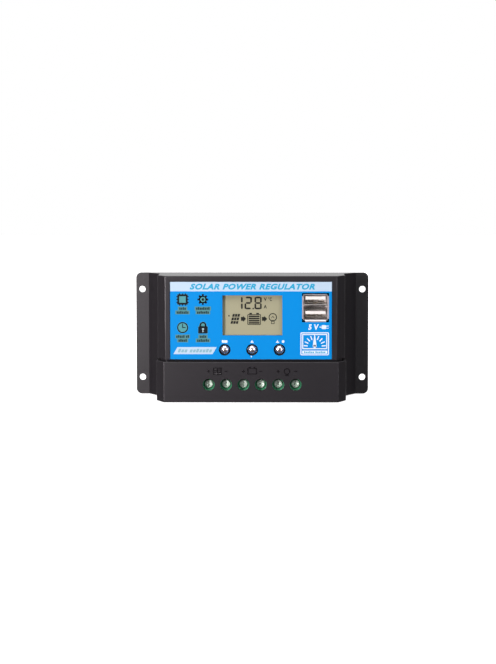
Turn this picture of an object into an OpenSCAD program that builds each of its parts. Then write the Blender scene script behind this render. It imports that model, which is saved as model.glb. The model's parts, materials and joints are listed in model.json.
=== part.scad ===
// Solar charge controller: a black case on a flanged back plate, with a printed front label,
// a display, three buttons, a double charging socket and six screw terminals under a cover.
// X runs to the right, Z runs up, and the front faces -Y. The origin is on the back face,
// at the centre of the four wall holes. "Depth" is the distance out from the wall, along -Y.

/* [Case] */
// Width over the two mounting flanges
case_w = 133.5; // [131:0.5:162]
// Height of the case and of the back plate
case_h = 70; // [70:0.5:86]
// Depth from the wall to the front face
case_d = 35; // [34.5:0.1:44]
// Thickness of the moulded walls
wall = 2.2; // [1.8:0.05:2.4]
// Width of each flange, up to the foot of the shoulder
flange_w = 7.15; // [6:0.05:8]
// How far each shoulder leans in from its foot to the side wall
shoulder_in = 7.5; // [5:0.1:9]
// Depth at which the shoulder meets the side wall
shoulder_d = 12.4; // [11.5:0.1:14]
// How far the front edge of each side is cut back in width
chamfer_in = 4.6; // [3:0.1:6]
// How far the front edge of each side is cut back in depth
chamfer_d = 7.5; // [5:0.1:9]

/* [Back plate and wall holes] */
// Thickness of the aluminium back plate
plate_t = 2; // [1.5:0.1:2.5]
// Corner radius of the back plate
plate_corner_r = 3; // [1:0.5:5]
// Distance of a wall hole from the side edge of the plate
wall_hole_in_x = 3.5; // [3.2:0.1:4]
// Distance of a wall hole from the top or bottom edge of the plate
wall_hole_in_z = 9.6; // [6:0.5:16]
// Radius of a wall hole
wall_hole_r = 1.85; // [1.5:0.05:2.4]
// Distance of a case screw from the inner faces of the walls
case_screw_in = 2.8; // [2.4:0.1:3]
// Radius of a case screw's shank
case_screw_r = 1.45; // [1.2:0.05:1.6]
// Radius of a case screw's countersunk head
case_screw_head_r = 2.8; // [2.4:0.1:3]
// Length of a case screw
case_screw_l = 10; // [8:0.5:11]
// Radius of the moulded post round a case screw
case_post_r = 3.2; // [2.8:0.1:3.4]

/* [Terminal cover] */
// Height of the cover over the terminals
cover_h = 22.5; // [21:0.1:24]
// Width of the groove between the cover and the front shell
groove_w = 1.3; // [0.8:0.1:1.6]
// How far the cover stands proud of the shell's sides
cover_proud = 0.7; // [0:0.1:0.8]
// How far the moulded symbols stand up from the cover
symbol_raise = 0.3; // [0.2:0.05:0.5]
// Radius of a screwdriver hole in the cover
access_r = 3.3; // [3:0.1:3.6]
// Width of a wire window in the cover
window_w = 6.8; // [6:0.1:7.4]
// Distance of each snap hook from the centre
hook_x = 38.2; // [37:0.1:38.6]

/* [Label and display] */
// Width of the printed label
label_w = 89.3; // [80:0.1:92]
// Gap from the top of the case to the label
label_top_gap = 3.1; // [2.6:0.1:5]
// Thickness of the label
label_t = 0.4; // [0.2:0.05:0.5]
// Width of the display window
window_lcd_w = 32.9; // [28:0.1:34]
// Height of the display window
window_lcd_h = 22.1; // [18:0.1:23]
// Place of the display window's centre, across
lcd_x = 0.75; // [-1:0.05:1]
// Place of the display window's centre, up
lcd_z = 13.25; // [12.5:0.05:14]

/* [Buttons] */
// Radius of a button cap
button_r = 2.5; // [2:0.1:3]
// Gap round a button in its well
button_gap = 0.75; // [0.4:0.05:1]
// Distance between the buttons
button_pitch = 15.1; // [12:0.1:15.5]
// Place of the middle button, across
button_x = 0.6; // [-0.5:0.1:1]
// Height of the buttons' centres
button_z = -5.8; // [-5.9:0.1:-5.6]
// How far a button travels when it is pressed
button_travel = 0.6; // [0.3:0.05:0.8]

/* [Charging socket] */
// Width of the double socket's flared mouth
socket_w = 14.7; // [14:0.1:15]
// Height of the double socket's flared mouth
socket_h = 15.9; // [15.6:0.1:16.2]
// Place of the socket's centre, across
socket_x = 35.55; // [34.5:0.05:36]
// Place of the socket's centre, up
socket_z = 17.55; // [16:0.05:18]
// Depth of the socket's body behind its mouth
socket_l = 17.9; // [17:0.1:18.5]

/* [Terminals] */
// Distance between neighbouring terminals
terminal_pitch = 9.6; // [9.5:0.05:11.6]
// Place of the row of terminals, across
terminal_x = 0.55; // [-1:0.05:1]
// Distance of the terminal screws from the bottom of the case
terminal_up = 9.8; // [9.6:0.1:10.2]
// Size of a terminal block from its wire face to its back
block_h = 15.8; // [15:0.1:15.9]
// Radius of a terminal screw's head
screw_head_r = 2.4; // [2:0.1:2.5]
// Radius of a terminal screw's thread
screw_r = 1.75; // [1.5:0.05:1.8]
// Rise of a clamp cage for one turn of its screw
screw_lead = 0.6; // [0.5:0.05:0.7]
// Turns of a terminal screw from open to closed
screw_turns = 7; // [4:1:7]
// Clear width inside a clamp cage
cage_clear = 5.2; // [4.3:0.1:5.4]
// Thickness of a clamp cage's side
cage_wall = 0.9; // [0.6:0.1:0.9]

/* [Boards] */
// Thickness of the circuit boards
board_t = 1.6; // [1:0.1:1.6]
// Gap between the main board's edge and the side wall's inner face
main_board_side_gap = 7.4; // [7:0.1:9]
// Gap between the back plate and the main board
main_board_gap = 6; // [5.6:0.1:6.4]
// Distance of a board spacer from the side edge of the board
spacer_in = 4; // [3.5:0.1:6]
// Distance of the lower spacers from the bottom of the case
spacer_low = 10; // [9.6:0.1:14]
// Distance of the upper spacers from the top of the case
spacer_top = 8; // [7:0.1:10]
// Radius of a board screw's thread
board_screw_r = 1.45; // [1.2:0.05:1.5]

/* [Clearances] */
// Gap between pieces that fit together
fit = 0.2; // [0.1:0.05:0.25]
// Radial gap of a shaft that turns or slides in a hole
running = 0.05; // [0.02:0.01:0.08]

/* [Hidden] */
$fn = 48;

// Colours
black_plastic = [0.07, 0.07, 0.075];
black_metal = [0.09, 0.09, 0.1];
board_green = [0.05, 0.3, 0.14];
block_green = [0.13, 0.5, 0.26];
bare_steel = [0.75, 0.76, 0.77];
chip_black = [0.1, 0.1, 0.11];

// A little more than nothing, so that a cut passes through its face
over = 1;

// Outline of the case, seen from above
crease_x = case_w / 2 - flange_w;
side_x = crease_x - shoulder_in;
front_x = side_x - chamfer_in;
shoulder_normal = [shoulder_d - plate_t, shoulder_in] / norm([shoulder_d - plate_t, shoulder_in]);
chamfer_normal = [chamfer_d, chamfer_in] / norm([chamfer_d, chamfer_in]);

// Half the clear width of the shell where it meets the back plate
inner_foot_x = half_outline(wall, wall)[1][0];

// Levels up and down
top_z = case_h / 2;
bottom_z = -case_h / 2;
cover_top_z = bottom_z + cover_h;
shell_low_z = cover_top_z + groove_w;

// The lip of the shell that the cover fits over, and the wall that closes it
lip_t = 1.6;
lip_in = wall - cover_proud + fit;
lip_front_in = wall + fit;
lip_overlap = 2.5;
lip_root = 1;
lip_low_z = cover_top_z - lip_overlap;
lip_root_z = shell_low_z + lip_root;

// Snap hooks of the cover, from their roots to their barbed tips
hook_w = 6;
hook_t = 1.3;
hook_tip_d = 5;
hook_root_d = shoulder_d + 3;
barb_l = 2.2;
barb_out = 0.9;

// Moulded symbols on the cover
symbol_line = 0.4;
symbol_size = 1.6;
symbol_up = 7.6;

// Label
recess_t = 0.5;
label_low_z = shell_low_z + fit;
label_top_z = top_z - label_top_gap - fit;
label_front_d = case_d - recess_t + label_t;
window_left = lcd_x - window_lcd_w / 2;
window_right = lcd_x + window_lcd_w / 2;
window_low = lcd_z - window_lcd_h / 2;
window_high = lcd_z + window_lcd_h / 2;

// Main board
main_board_w = 2 * (side_x - wall - main_board_side_gap);
spacer_x = main_board_w / 2 - spacer_in;
main_d = plate_t + main_board_gap;
main_face_d = main_d + board_t;
main_board_below = 4.5;
main_board_above = 3.5;
main_low_z = bottom_z + main_board_below;
main_top_z = top_z - main_board_above;
spacer_levels = [bottom_z + spacer_low, top_z - spacer_top];
spacer_places = [for (sx = [-1, 1]) for (z = spacer_levels) [sx * spacer_x, z]];
spacer_stem_r = 2.1;
spacer_r = 3;
board_screw_head_r = 2.7;

// Capacitors, lying beside the board screws on the left
capacitor_r = 6;
capacitor_l = 16;
capacitor_gap = 0.6;
capacitor_left_x = -spacer_x + board_screw_head_r + capacitor_gap;

// Wall holes
wall_hole_x = case_w / 2 - wall_hole_in_x;
wall_hole_z = case_h / 2 - wall_hole_in_z;

// Parts between the back plate and the main board
pad_t = 1.5;
mosfet_w = 10.2;
mosfet_h = 9.2;
mosfet_pitch = 16;
mosfet_z = 6;
mosfet_places = [for (i = [-1.5:1.5]) [i * mosfet_pitch, mosfet_z]];
sheet_t = 0.25;

// Case screws
case_screw_x = side_x - wall - case_screw_in;
case_screw_z = top_z - wall - case_screw_in;
case_screw_places = [for (sx = [-1, 1]) for (sz = [-1, 1]) [sx * case_screw_x, sz * case_screw_z]];
case_screw_head_t = 1.5;
pilot_r = case_screw_r + running;
pilot_end = 0.6;

// Display stack, from the front wall's inner face back to the display board
inner_front_d = case_d - wall;
polariser_t = 0.2;
glass_t = 2.4;
glass_front_d = inner_front_d - polariser_t - fit;
glass_back_d = glass_front_d - glass_t;
backlight_t = 4;
display_d = glass_back_d - backlight_t - board_t;
display_face_d = display_d + board_t;
post_r = 2.5;
glass_side = 2.2;
glass_below = 2.4;
glass_above = 2.9;
post_left_x = -40;
post_right_x = window_right + glass_side + post_r + fit;
display_edge = 3;
display_left = post_left_x - display_edge;
display_right = post_right_x + display_edge - fit;
display_low_z = shell_low_z + 0.8;
display_top_z = top_z - 4.5;
post_low_z = display_low_z + 2.4;
post_high_z = top_z - 8;
post_places = [for (x = [post_left_x, post_right_x]) for (z = [post_low_z, post_high_z]) [x, z]];
small_screw_r = 0.95;
small_head_r = 1.9;
small_head_t = 1.3;

// Pins from the display's glass to its board, along the top edge
lcd_pin_count = 18;
lcd_pin_pitch = 1.8;
lcd_pin_w = 0.4;
lcd_pin_z = window_high + glass_above;
lcd_pin_below = 0.8;
lcd_pin_short = 0.3;

// Pin strips between the boards
header_pitch = 2.54;
header_pin_half = 0.32;
header_t = 2.5;
header_over_pins = 0.28;

// Buttons and the switches under them
button_places = [for (i = [-1, 0, 1]) [button_x + i * button_pitch, button_z]];
button_well_r = button_r + button_gap;
button_flange_lap = 0.35;
button_flange_r = button_well_r + button_flange_lap;
button_flange_t = 0.8;
button_flange_d = inner_front_d - fit - button_flange_t;
button_crown = 1.1;
front_set_back = 0.1;
button_top_d = case_d - front_set_back;
crown_r = (button_r * button_r + button_crown * button_crown) / (2 * button_crown);
switch_size = 6;
switch_t = 3.5;
switch_face_d = display_face_d + switch_t;
switch_floor_d = display_face_d + 1.2;
switch_leg_t = 0.3;
plunger_r = 1.7;
plunger_spare = 0.1;
plunger_l = 1.5;
plunger_top_d = switch_face_d + button_travel + plunger_spare;
plunger_low_d = plunger_top_d - plunger_l;

// Double socket
sheet_metal_t = 0.3;
mouth_flare = 0.7;
socket_low_flare = 0.9;
body_left = socket_x - socket_w / 2 + mouth_flare;
body_right = socket_x + socket_w / 2 - mouth_flare;
body_low = socket_z - socket_h / 2 + socket_low_flare;
body_high = socket_z + socket_h / 2 - mouth_flare;
socket_front_d = case_d - front_set_back;
socket_back_d = socket_front_d - socket_l;
port_h = 5.1;
port_floor_up = 0.9;
port_low_z = [body_low + port_floor_up, body_high - sheet_metal_t - port_h];
tongue_t = 1.84;
tongue_up = 2.45;
tongue_side = 1.8;
tongue_w = socket_w - 2 * tongue_side;
tongue_back = 1.2;
insulator_back_l = 9;
contact_pitch = 2.4;
contact_w = 1.1;
contact_t = 0.2;
contact_short = 0.6;
usb_board_face_d = socket_back_d - running;
usb_board_d = usb_board_face_d - board_t;
usb_board_side = 2.65;
usb_board_below = 13.5;
usb_board_above = 12.5;
usb_board_half_w = socket_w / 2 + usb_board_side;
usb_board_low = socket_z - usb_board_below;
usb_board_high = socket_z + usb_board_above;
usb_pins_up = 2;

// Terminals
terminal_z = bottom_z + terminal_up;
terminal_places = [for (i = [0:5]) terminal_x + (i - 2.5) * terminal_pitch];
block_below = 0.4;
block_low_z = bottom_z + wall + block_below;
block_top_z = block_low_z + block_h;
block_gap = 0.1;
tongue_plate_t = 1;
wire_gap = 5;
cage_floor_t = 1;
cage_nut_t = 2;
cage_deep = 6;
cage_rise = screw_lead * screw_turns;
cage_stand = 3.8;
cage_floor_d = main_face_d + cage_stand;
wire_floor_d = cage_floor_d + cage_floor_t;
bar_d = wire_floor_d + wire_gap;
bar_top_d = bar_d + tongue_plate_t;
bar_nut_gap = 0.4;
nut_d = bar_top_d + bar_nut_gap;
cage_top_d = nut_d + cage_nut_t;
cage_top_gap = 0.3;
shelf_d = cage_top_d + cage_rise + cage_top_gap;
shelf_t = 1.1;
head_d = shelf_d + shelf_t + running;
head_t = 2.45;
head_sunk = 0.5;
block_top_d = head_d + head_t + head_sunk;
cage_w = cage_clear + 2 * cage_wall;
shaft_bore_r = screw_r + fit;
recess_w = 0.8;
recess_l = 3.5;
recess_deep = 1.2;
pin_w = 1.2;
pin_t = 1;
pin_below = 1.4;
pin_in = 2;
pin_back_z = block_top_z - pin_in;
bar_side_gap = 0.4;
bar_half = cage_clear / 2 - bar_side_gap;
head_gap = 0.35;
cage_room = 0.6;
cage_end_gap = 0.4;

// Where two lines cross, each given by its normal and its distance from the origin
function crossing(n1, c1, n2, c2) =
    let (det = n1[0] * n2[1] - n1[1] * n2[0])
    [(c1 * n2[1] - c2 * n1[1]) / det, (n1[0] * c2 - n2[0] * c1) / det];

// Right half of the case's outline as [x, depth], with its sides and its front moved inwards
function half_outline(inset, front_inset) =
    let (shoulder_c = shoulder_normal * [side_x, shoulder_d] - inset)
    let (chamfer_c = chamfer_normal * [front_x, case_d] - inset)
    [
        crossing(shoulder_normal, shoulder_c, [0, 1], plate_t),
        crossing(shoulder_normal, shoulder_c, [1, 0], side_x - inset),
        crossing([1, 0], side_x - inset, chamfer_normal, chamfer_c),
        crossing(chamfer_normal, chamfer_c, [0, 1], case_d - front_inset)
    ];

// A box given by its limits across, in depth and up
module block(x0, x1, d0, d1, z0, z1) {
    translate([x0, -d1, z0])
        cube([x1 - x0, d1 - d0, z1 - z0]);
}

// A round rod along the depth
module rod(place, d0, d1, r) {
    translate([place[0], -d0, place[1]])
        rotate([90, 0, 0])
            cylinder(h = d1 - d0, r = r);
}

// A flat shape drawn across and up, raised from one depth to another
module raised(d0, d1) {
    translate([0, -d0, 0])
        rotate([90, 0, 0])
            linear_extrude(d1 - d0)
                children();
}

// The case's outline, extruded up from z0 to z1
module case_solid(inset, front_inset, z0, z1) {
    half = half_outline(inset, front_inset);
    right = [for (p = half) [p[0], -p[1]]];
    left = [for (i = [len(half) - 1:-1:0]) [-half[i][0], -half[i][1]]];
    translate([0, 0, z0])
        linear_extrude(z1 - z0)
            polygon(concat(right, left));
}

module rounded_rectangle(w, h, r) {
    square([w - 2 * r, h], center = true);
    square([w, h - 2 * r], center = true);
    for (sx = [-1, 1])
        for (sy = [-1, 1])
            translate([sx * (w / 2 - r), sy * (h / 2 - r)])
                circle(r);
}

// ---- Back plate and what stands on it ----

module base_plate() {
    color(black_metal)
        difference() {
            raised(0, plate_t)
                rounded_rectangle(case_w, case_h, plate_corner_r);
            for (sx = [-1, 1])
                for (sz = [-1, 1])
                    rod([sx * wall_hole_x, sz * wall_hole_z], -over, plate_t + over, wall_hole_r);
            for (place = case_screw_places) {
                rod(place, -over, plate_t + over, case_screw_r + fit);
                countersink(place, case_screw_head_r + fit);
            }
            for (place = spacer_places)
                rod(place, -over, plate_t + over, spacer_stem_r + running);
        }
}

// A cone from the back face down to the shank of a case screw
module countersink(place, r) {
    translate([place[0], 0, place[1]])
        rotate([90, 0, 0])
            cylinder(h = case_screw_head_t, r1 = r, r2 = case_screw_r);
}

module case_screws() {
    color(bare_steel)
        for (place = case_screw_places)
            difference() {
                union() {
                    countersink(place, case_screw_head_r);
                    rod(place, case_screw_head_t, case_screw_l, case_screw_r);
                }
                cross_recess(place, 0, 1);
            }
}

// A cross-shaped recess for a driver, cut in from depth d0 to d1
module cross_recess(place, d0, d1) {
    for (turned = [0, 1]) {
        half_x = turned == 0 ? recess_l / 2 : recess_w / 2;
        half_z = turned == 0 ? recess_w / 2 : recess_l / 2;
        block(place[0] - half_x, place[0] + half_x, d0, d1, place[1] - half_z, place[1] + half_z);
    }
}

module insulating_sheet() {
    edge = 2.4;
    color([0.85, 0.83, 0.72])
        difference() {
            block(-main_board_w / 2, main_board_w / 2, plate_t, plate_t + sheet_t, main_low_z, main_top_z);
            for (place = spacer_places)
                rod(place, plate_t - over, plate_t + sheet_t + over, spacer_r + fit);
            for (place = mosfet_places)
                block(
                    place[0] - mosfet_w / 2 - edge, place[0] + mosfet_w / 2 + edge,
                    plate_t - over, plate_t + sheet_t + over,
                    place[1] - mosfet_h / 2 - edge, place[1] + mosfet_h / 2 + edge
                );
        }
}

module thermal_pads() {
    edge = 1.5;
    color([0.6, 0.64, 0.7])
        for (place = mosfet_places)
            block(
                place[0] - mosfet_w / 2 - edge, place[0] + mosfet_w / 2 + edge,
                plate_t, plate_t + pad_t,
                place[1] - mosfet_h / 2 - edge, place[1] + mosfet_h / 2 + edge
            );
}

module mosfets() {
    lead_w = 0.9;
    lead_l = 4.5;
    lead_t = 0.5;
    tab_t = 1.3;
    tab_l = 1.4;
    color(chip_black)
        for (place = mosfet_places) {
            left = place[0] - mosfet_w / 2;
            low = place[1] - mosfet_h / 2;
            block(left, left + mosfet_w, plate_t + pad_t, main_d, low, low + mosfet_h);
            block(left, left + mosfet_w, main_d - tab_t, main_d, low + mosfet_h, low + mosfet_h + tab_l);
            for (i = [-1, 1])
                block(
                    place[0] + i * 2.54 - lead_w / 2, place[0] + i * 2.54 + lead_w / 2,
                    main_d - lead_t, main_d, low - lead_l, low
                );
        }
}

module board_spacers() {
    color([0.75, 0.6, 0.25])
        for (place = spacer_places)
            difference() {
                union() {
                    rod(place, fit, plate_t, spacer_stem_r);
                    translate([place[0], -plate_t, place[1]])
                        rotate([90, 0, 0])
                            cylinder(h = main_board_gap, r = spacer_r, $fn = 6);
                }
                rod(place, -over, main_d + over, board_screw_r + running);
            }
}

module board_screws() {
    pan_t = 1.9;
    thread_l = 5;
    color(bare_steel)
        for (place = spacer_places)
            difference() {
                union() {
                    rod(place, main_face_d, main_face_d + pan_t, board_screw_head_r);
                    rod(place, main_face_d - thread_l, main_face_d, board_screw_r);
                }
                cross_recess(place, main_face_d + pan_t - 1, main_face_d + pan_t + over);
            }
}

module main_board() {
    color(board_green)
        difference() {
            block(-main_board_w / 2, main_board_w / 2, main_d, main_face_d, main_low_z, main_top_z);
            for (place = spacer_places)
                rod(place, main_d - over, main_face_d + over, board_screw_r + fit);
            for (x = terminal_places)
                contact_pin(x, main_d - over, main_face_d + over, fit);
        }
}

// ---- Case mouldings ----

module front_shell() {
    color(black_plastic)
        difference() {
            union() {
                shell_walls();
                cover_lip();
                case_posts();
                display_posts();
            }
            front_openings(-fit / 2, case_d - over - wall, case_d + over);
            label_recess();
            for (place = case_screw_places)
                rod(place, plate_t - over, case_screw_l + pilot_end, pilot_r);
            for (place = post_places)
                rod(place, display_face_d - over, inner_front_d - pilot_end, small_screw_r + running);
            for (sx = [-1, 1])
                hook_slot(sx * hook_x);
        }
}

// The outer walls: full depth above the groove, shoulders only beside the terminals
module shell_walls() {
    difference() {
        union() {
            case_solid(0, 0, shell_low_z, top_z);
            intersection() {
                case_solid(0, 0, bottom_z, shell_low_z);
                block(-case_w, case_w, plate_t, shoulder_d, bottom_z, shell_low_z);
            }
        }
        case_solid(wall, wall, bottom_z + wall, top_z - wall);
        block(-inner_foot_x, inner_foot_x, plate_t - over, plate_t + over, bottom_z + wall, top_z - wall);
    }
}

// The set-back lip under the cover's edge, closed by a thin wall
module cover_lip() {
    board_gap = 1.6;
    wall_low_d = main_face_d + board_gap;
    difference() {
        case_solid(lip_in, lip_front_in, lip_low_z, lip_root_z);
        case_solid(lip_in + lip_t, lip_front_in + lip_t, lip_low_z + lip_t, lip_root_z + over);
        block(-case_w, case_w, 0, wall_low_d, lip_low_z - over, lip_root_z + over);
    }
}

// Posts that the case screws bite into
module case_posts() {
    upper_l = 14;
    for (place = case_screw_places)
        rod(place, plate_t, place[1] > 0 ? upper_l : shoulder_d, case_post_r);
}

// Posts that hold the display board to the front wall
module display_posts() {
    for (place = post_places)
        rod(place, display_face_d, inner_front_d + wall / 2, post_r);
}

// The display window, the socket's opening and the button wells
module front_openings(gap, d0, d1) {
    block(window_left, window_right, d0, d1, window_low, window_high);
    block(
        socket_x - socket_w / 2 + gap, socket_x + socket_w / 2 - gap, d0, d1,
        socket_z - socket_h / 2 + gap, socket_z + socket_h / 2 - gap
    );
    for (place = button_places)
        rod(place, d0, d1, button_well_r);
}

module label_recess() {
    block(
        -label_w / 2, label_w / 2, case_d - recess_t, case_d + over,
        shell_low_z - over, top_z - label_top_gap
    );
}

// A slot in the tray's bottom wall that a snap hook's barb clicks into
module hook_slot(x) {
    block(
        x - hook_w / 2 - fit, x + hook_w / 2 + fit,
        hook_tip_d - fit, hook_tip_d + barb_l + fit,
        bottom_z - over, bottom_z + wall + over
    );
}

module terminal_cover() {
    window_over = 1;
    color(black_plastic) {
        difference() {
            case_solid(-cover_proud, 0, bottom_z, cover_top_z);
            case_solid(wall - cover_proud, wall, bottom_z + wall, cover_top_z + over);
            block(-case_w, case_w, 0, shoulder_d + running, bottom_z - over, cover_top_z + over);
            for (x = terminal_places) {
                rod([x, terminal_z], inner_front_d - over, case_d + over, access_r);
                block(
                    x - window_w / 2, x + window_w / 2, wire_floor_d - window_over, bar_top_d + window_over,
                    bottom_z - over, bottom_z + wall + over
                );
            }
        }
        for (sx = [-1, 1])
            snap_hook(sx * hook_x);
        cover_symbols();
    }
}

// A hook that reaches down inside the tray's bottom wall, with its barb in the slot
module snap_hook(x) {
    joined = over / 2;
    inner_z = bottom_z + wall + fit;
    left = x - hook_w / 2;
    right = x + hook_w / 2;
    block(left, right, hook_tip_d, hook_root_d, inner_z, inner_z + hook_t);
    block(left, right, hook_tip_d, hook_tip_d + barb_l, inner_z - barb_out, inner_z + joined);
    block(left, right, shoulder_d + over, hook_root_d, bottom_z + wall / 2, inner_z + joined);
}

// Raised line symbols: a solar panel, a battery and a lamp, each with its plus and minus
module cover_symbols() {
    symbol_z = terminal_z + symbol_up;
    pair_x = [for (i = [0, 2, 4]) (terminal_places[i] + terminal_places[i + 1]) / 2];
    raised(case_d - 0.1, case_d + symbol_raise) {
        translate([pair_x[0], symbol_z])
            panel_symbol();
        translate([pair_x[1], symbol_z])
            battery_symbol();
        translate([pair_x[2], symbol_z])
            lamp_symbol();
        for (x = pair_x) {
            translate([x - terminal_pitch / 2, symbol_z])
                plus_symbol();
            translate([x + terminal_pitch / 2, symbol_z])
                square([symbol_size, symbol_line], center = true);
        }
    }
}

module plus_symbol() {
    square([symbol_size, symbol_line], center = true);
    square([symbol_line, symbol_size], center = true);
}

module line_frame(w, h) {
    difference() {
        square([w, h], center = true);
        square([w - 2 * symbol_line, h - 2 * symbol_line], center = true);
    }
}

module panel_symbol() {
    w = 4.6;
    h = 4;
    line_frame(w, h);
    square([symbol_line, h - symbol_line], center = true);
    for (i = [-1, 1])
        translate([0, i * h / 6])
            square([w - symbol_line, symbol_line], center = true);
}

module battery_symbol() {
    w = 5.2;
    h = 3.4;
    post = 1;
    line_frame(w, h);
    for (i = [-1, 1])
        translate([i * w / 4, h / 2 + post / 2 - symbol_line / 2])
            square([post, post], center = true);
}

module lamp_symbol() {
    bulb_r = 1.7;
    base_w = 1.6;
    base_h = 1.1;
    difference() {
        circle(bulb_r);
        circle(bulb_r - symbol_line);
    }
    translate([0, -bulb_r - base_h / 2 + symbol_line / 2])
        square([base_w, base_h], center = true);
}

module front_label() {
    color([0.0, 0.5, 0.85])
        difference() {
            block(
                -label_w / 2 + fit, label_w / 2 - fit, case_d - recess_t, label_front_d,
                label_low_z, label_top_z
            );
            front_openings(-fit / 2, case_d - over - wall, case_d + over);
        }
}

// ---- Display ----

module lcd_glass() {
    color([0.62, 0.68, 0.5])
        block(
            window_left - glass_side, window_right + glass_side, glass_back_d, glass_front_d,
            window_low - glass_below, window_high + glass_above
        );
}

module lcd_polariser() {
    edge = 1;
    color([0.72, 0.7, 0.52])
        block(
            window_left - edge, window_right + edge, glass_front_d, glass_front_d + polariser_t,
            window_low - edge, window_high + edge
        );
}

module lcd_backlight() {
    edge = 0.6;
    color([0.92, 0.92, 0.88])
        block(
            window_left - glass_side + edge, window_right + glass_side - edge,
            display_face_d, glass_back_d,
            window_low - glass_below + edge, window_high + glass_above - edge
        );
}

module lcd_pins() {
    first_x = lcd_x - (lcd_pin_count - 1) * lcd_pin_pitch / 2;
    color(bare_steel)
        for (i = [0:lcd_pin_count - 1]) {
            x = first_x + i * lcd_pin_pitch;
            block(
                x - lcd_pin_w / 2, x + lcd_pin_w / 2,
                display_d - lcd_pin_below, glass_front_d - lcd_pin_short,
                lcd_pin_z, lcd_pin_z + lcd_pin_w
            );
        }
}

module display_board() {
    color(board_green)
        difference() {
            block(display_left, display_right, display_d, display_face_d, display_low_z, display_top_z);
            for (place = post_places)
                rod(place, display_d - over, display_face_d + over, small_screw_r + fit);
            block(
                lcd_x - lcd_pin_count * lcd_pin_pitch / 2, lcd_x + lcd_pin_count * lcd_pin_pitch / 2,
                display_d - over, display_face_d + over, lcd_pin_z - fit, lcd_pin_z + lcd_pin_w + fit
            );
        }
}

module display_board_screws() {
    thread_l = 5;
    color(bare_steel)
        for (place = post_places) {
            rod(place, display_d - small_head_t, display_d, small_head_r);
            rod(place, display_d, display_d + thread_l, small_screw_r);
        }
}

// ---- Buttons and switches ----

// A domed cap with a flange behind the front wall and a short stem that bears on the switch
module button(place) {
    color(bare_steel) {
        rod(place, plunger_top_d, button_flange_d + button_flange_t / 2, plunger_r - fit);
        rod(place, button_flange_d, button_flange_d + button_flange_t, button_flange_r);
        rod(place, button_flange_d + button_flange_t / 2, button_top_d - button_crown, button_r);
        intersection() {
            translate([place[0], -(button_top_d - crown_r), place[1]])
                sphere(crown_r);
            rod(place, button_top_d - button_crown - 0.1, button_top_d + over, button_r);
        }
    }
}

module button_left() {
    button(button_places[0]);
}

module button_middle() {
    button(button_places[1]);
}

module button_right() {
    button(button_places[2]);
}

// The square body of a push switch, with the bore that its plunger slides in
module switch_body(place) {
    leg_w = 0.8;
    leg_l = 1.4;
    half = switch_size / 2;
    color([0.2, 0.2, 0.21]) {
        difference() {
            block(
                place[0] - half, place[0] + half, display_face_d, switch_face_d,
                place[1] - half, place[1] + half
            );
            rod(place, switch_floor_d, switch_face_d + over, plunger_r + running);
        }
        for (sx = [-1, 1]) {
            leg_x = place[0] + sx * (half + leg_l / 2);
            block(
                leg_x - leg_l / 2, leg_x + leg_l / 2, display_face_d, display_face_d + switch_leg_t,
                place[1] - leg_w / 2, place[1] + leg_w / 2
            );
        }
    }
}

module switch_left() {
    switch_body(button_places[0]);
}

module switch_middle() {
    switch_body(button_places[1]);
}

module switch_right() {
    switch_body(button_places[2]);
}

module plunger(place) {
    color([0.85, 0.6, 0.15])
        rod(place, plunger_low_d, plunger_top_d, plunger_r);
}

module plunger_left() {
    plunger(button_places[0]);
}

module plunger_middle() {
    plunger(button_places[1]);
}

module plunger_right() {
    plunger(button_places[2]);
}

// The thin discs that click and push the plungers back
module switch_domes() {
    dome_r = 1.6;
    dome_t = 0.12;
    color(bare_steel)
        for (place = button_places)
            rod(place, switch_floor_d, switch_floor_d + dome_t, dome_r);
}

// ---- Double charging socket ----

module usb_shell() {
    low = body_low;
    high = body_high;
    color(bare_steel) {
        difference() {
            block(body_left, body_right, socket_back_d, socket_front_d, low, high);
            block(
                body_left + sheet_metal_t, body_right - sheet_metal_t,
                socket_back_d + sheet_metal_t, socket_front_d + over,
                low + sheet_metal_t, high - sheet_metal_t
            );
        }
        flared_lips(low, high);
    }
}

// Four lips turned out from the mouth, with open corners between them
module flared_lips(low, high) {
    lip_l = 0.5;
    corner = 0.9;
    d0 = socket_front_d - lip_l;
    for (x = [body_left - mouth_flare, body_right])
        block(x, x + mouth_flare, d0, socket_front_d, low + corner, high - corner);
    block(body_left + corner, body_right - corner, d0, socket_front_d, high, high + mouth_flare);
    block(body_left + corner, body_right - corner, d0, socket_front_d, low - socket_low_flare, low);
}

// The folded metal between the two mouths
module usb_divider() {
    gap_low = port_low_z[0] + port_h;
    gap_high = port_low_z[1];
    set_back = 1.2;
    fold_t = 0.9;
    inner_left = body_left + sheet_metal_t + running;
    inner_right = body_right - sheet_metal_t - running;
    color([0.55, 0.55, 0.57])
        difference() {
            block(
                inner_left, inner_right, socket_front_d - insulator_back_l, socket_front_d,
                gap_low, gap_high
            );
            block(
                inner_left - over, inner_right + over,
                socket_front_d - set_back - over, socket_front_d + over,
                gap_low + sheet_metal_t, gap_high - fold_t
            );
        }
}

// The moulded body behind the mouths, with a tongue reaching into each
module usb_insulator() {
    inner_left = body_left + sheet_metal_t + running;
    inner_right = body_right - sheet_metal_t - running;
    back_d = socket_back_d + sheet_metal_t + running;
    face_d = socket_front_d - insulator_back_l - running;
    color([0.93, 0.92, 0.9]) {
        block(
            inner_left, inner_right, back_d, face_d,
            body_low + sheet_metal_t + running, body_high - sheet_metal_t - running
        );
        for (z = port_low_z)
            block(
                socket_x - tongue_w / 2, socket_x + tongue_w / 2,
                face_d - running, socket_front_d - tongue_back,
                z + tongue_up, z + tongue_up + tongue_t
            );
    }
}

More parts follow.
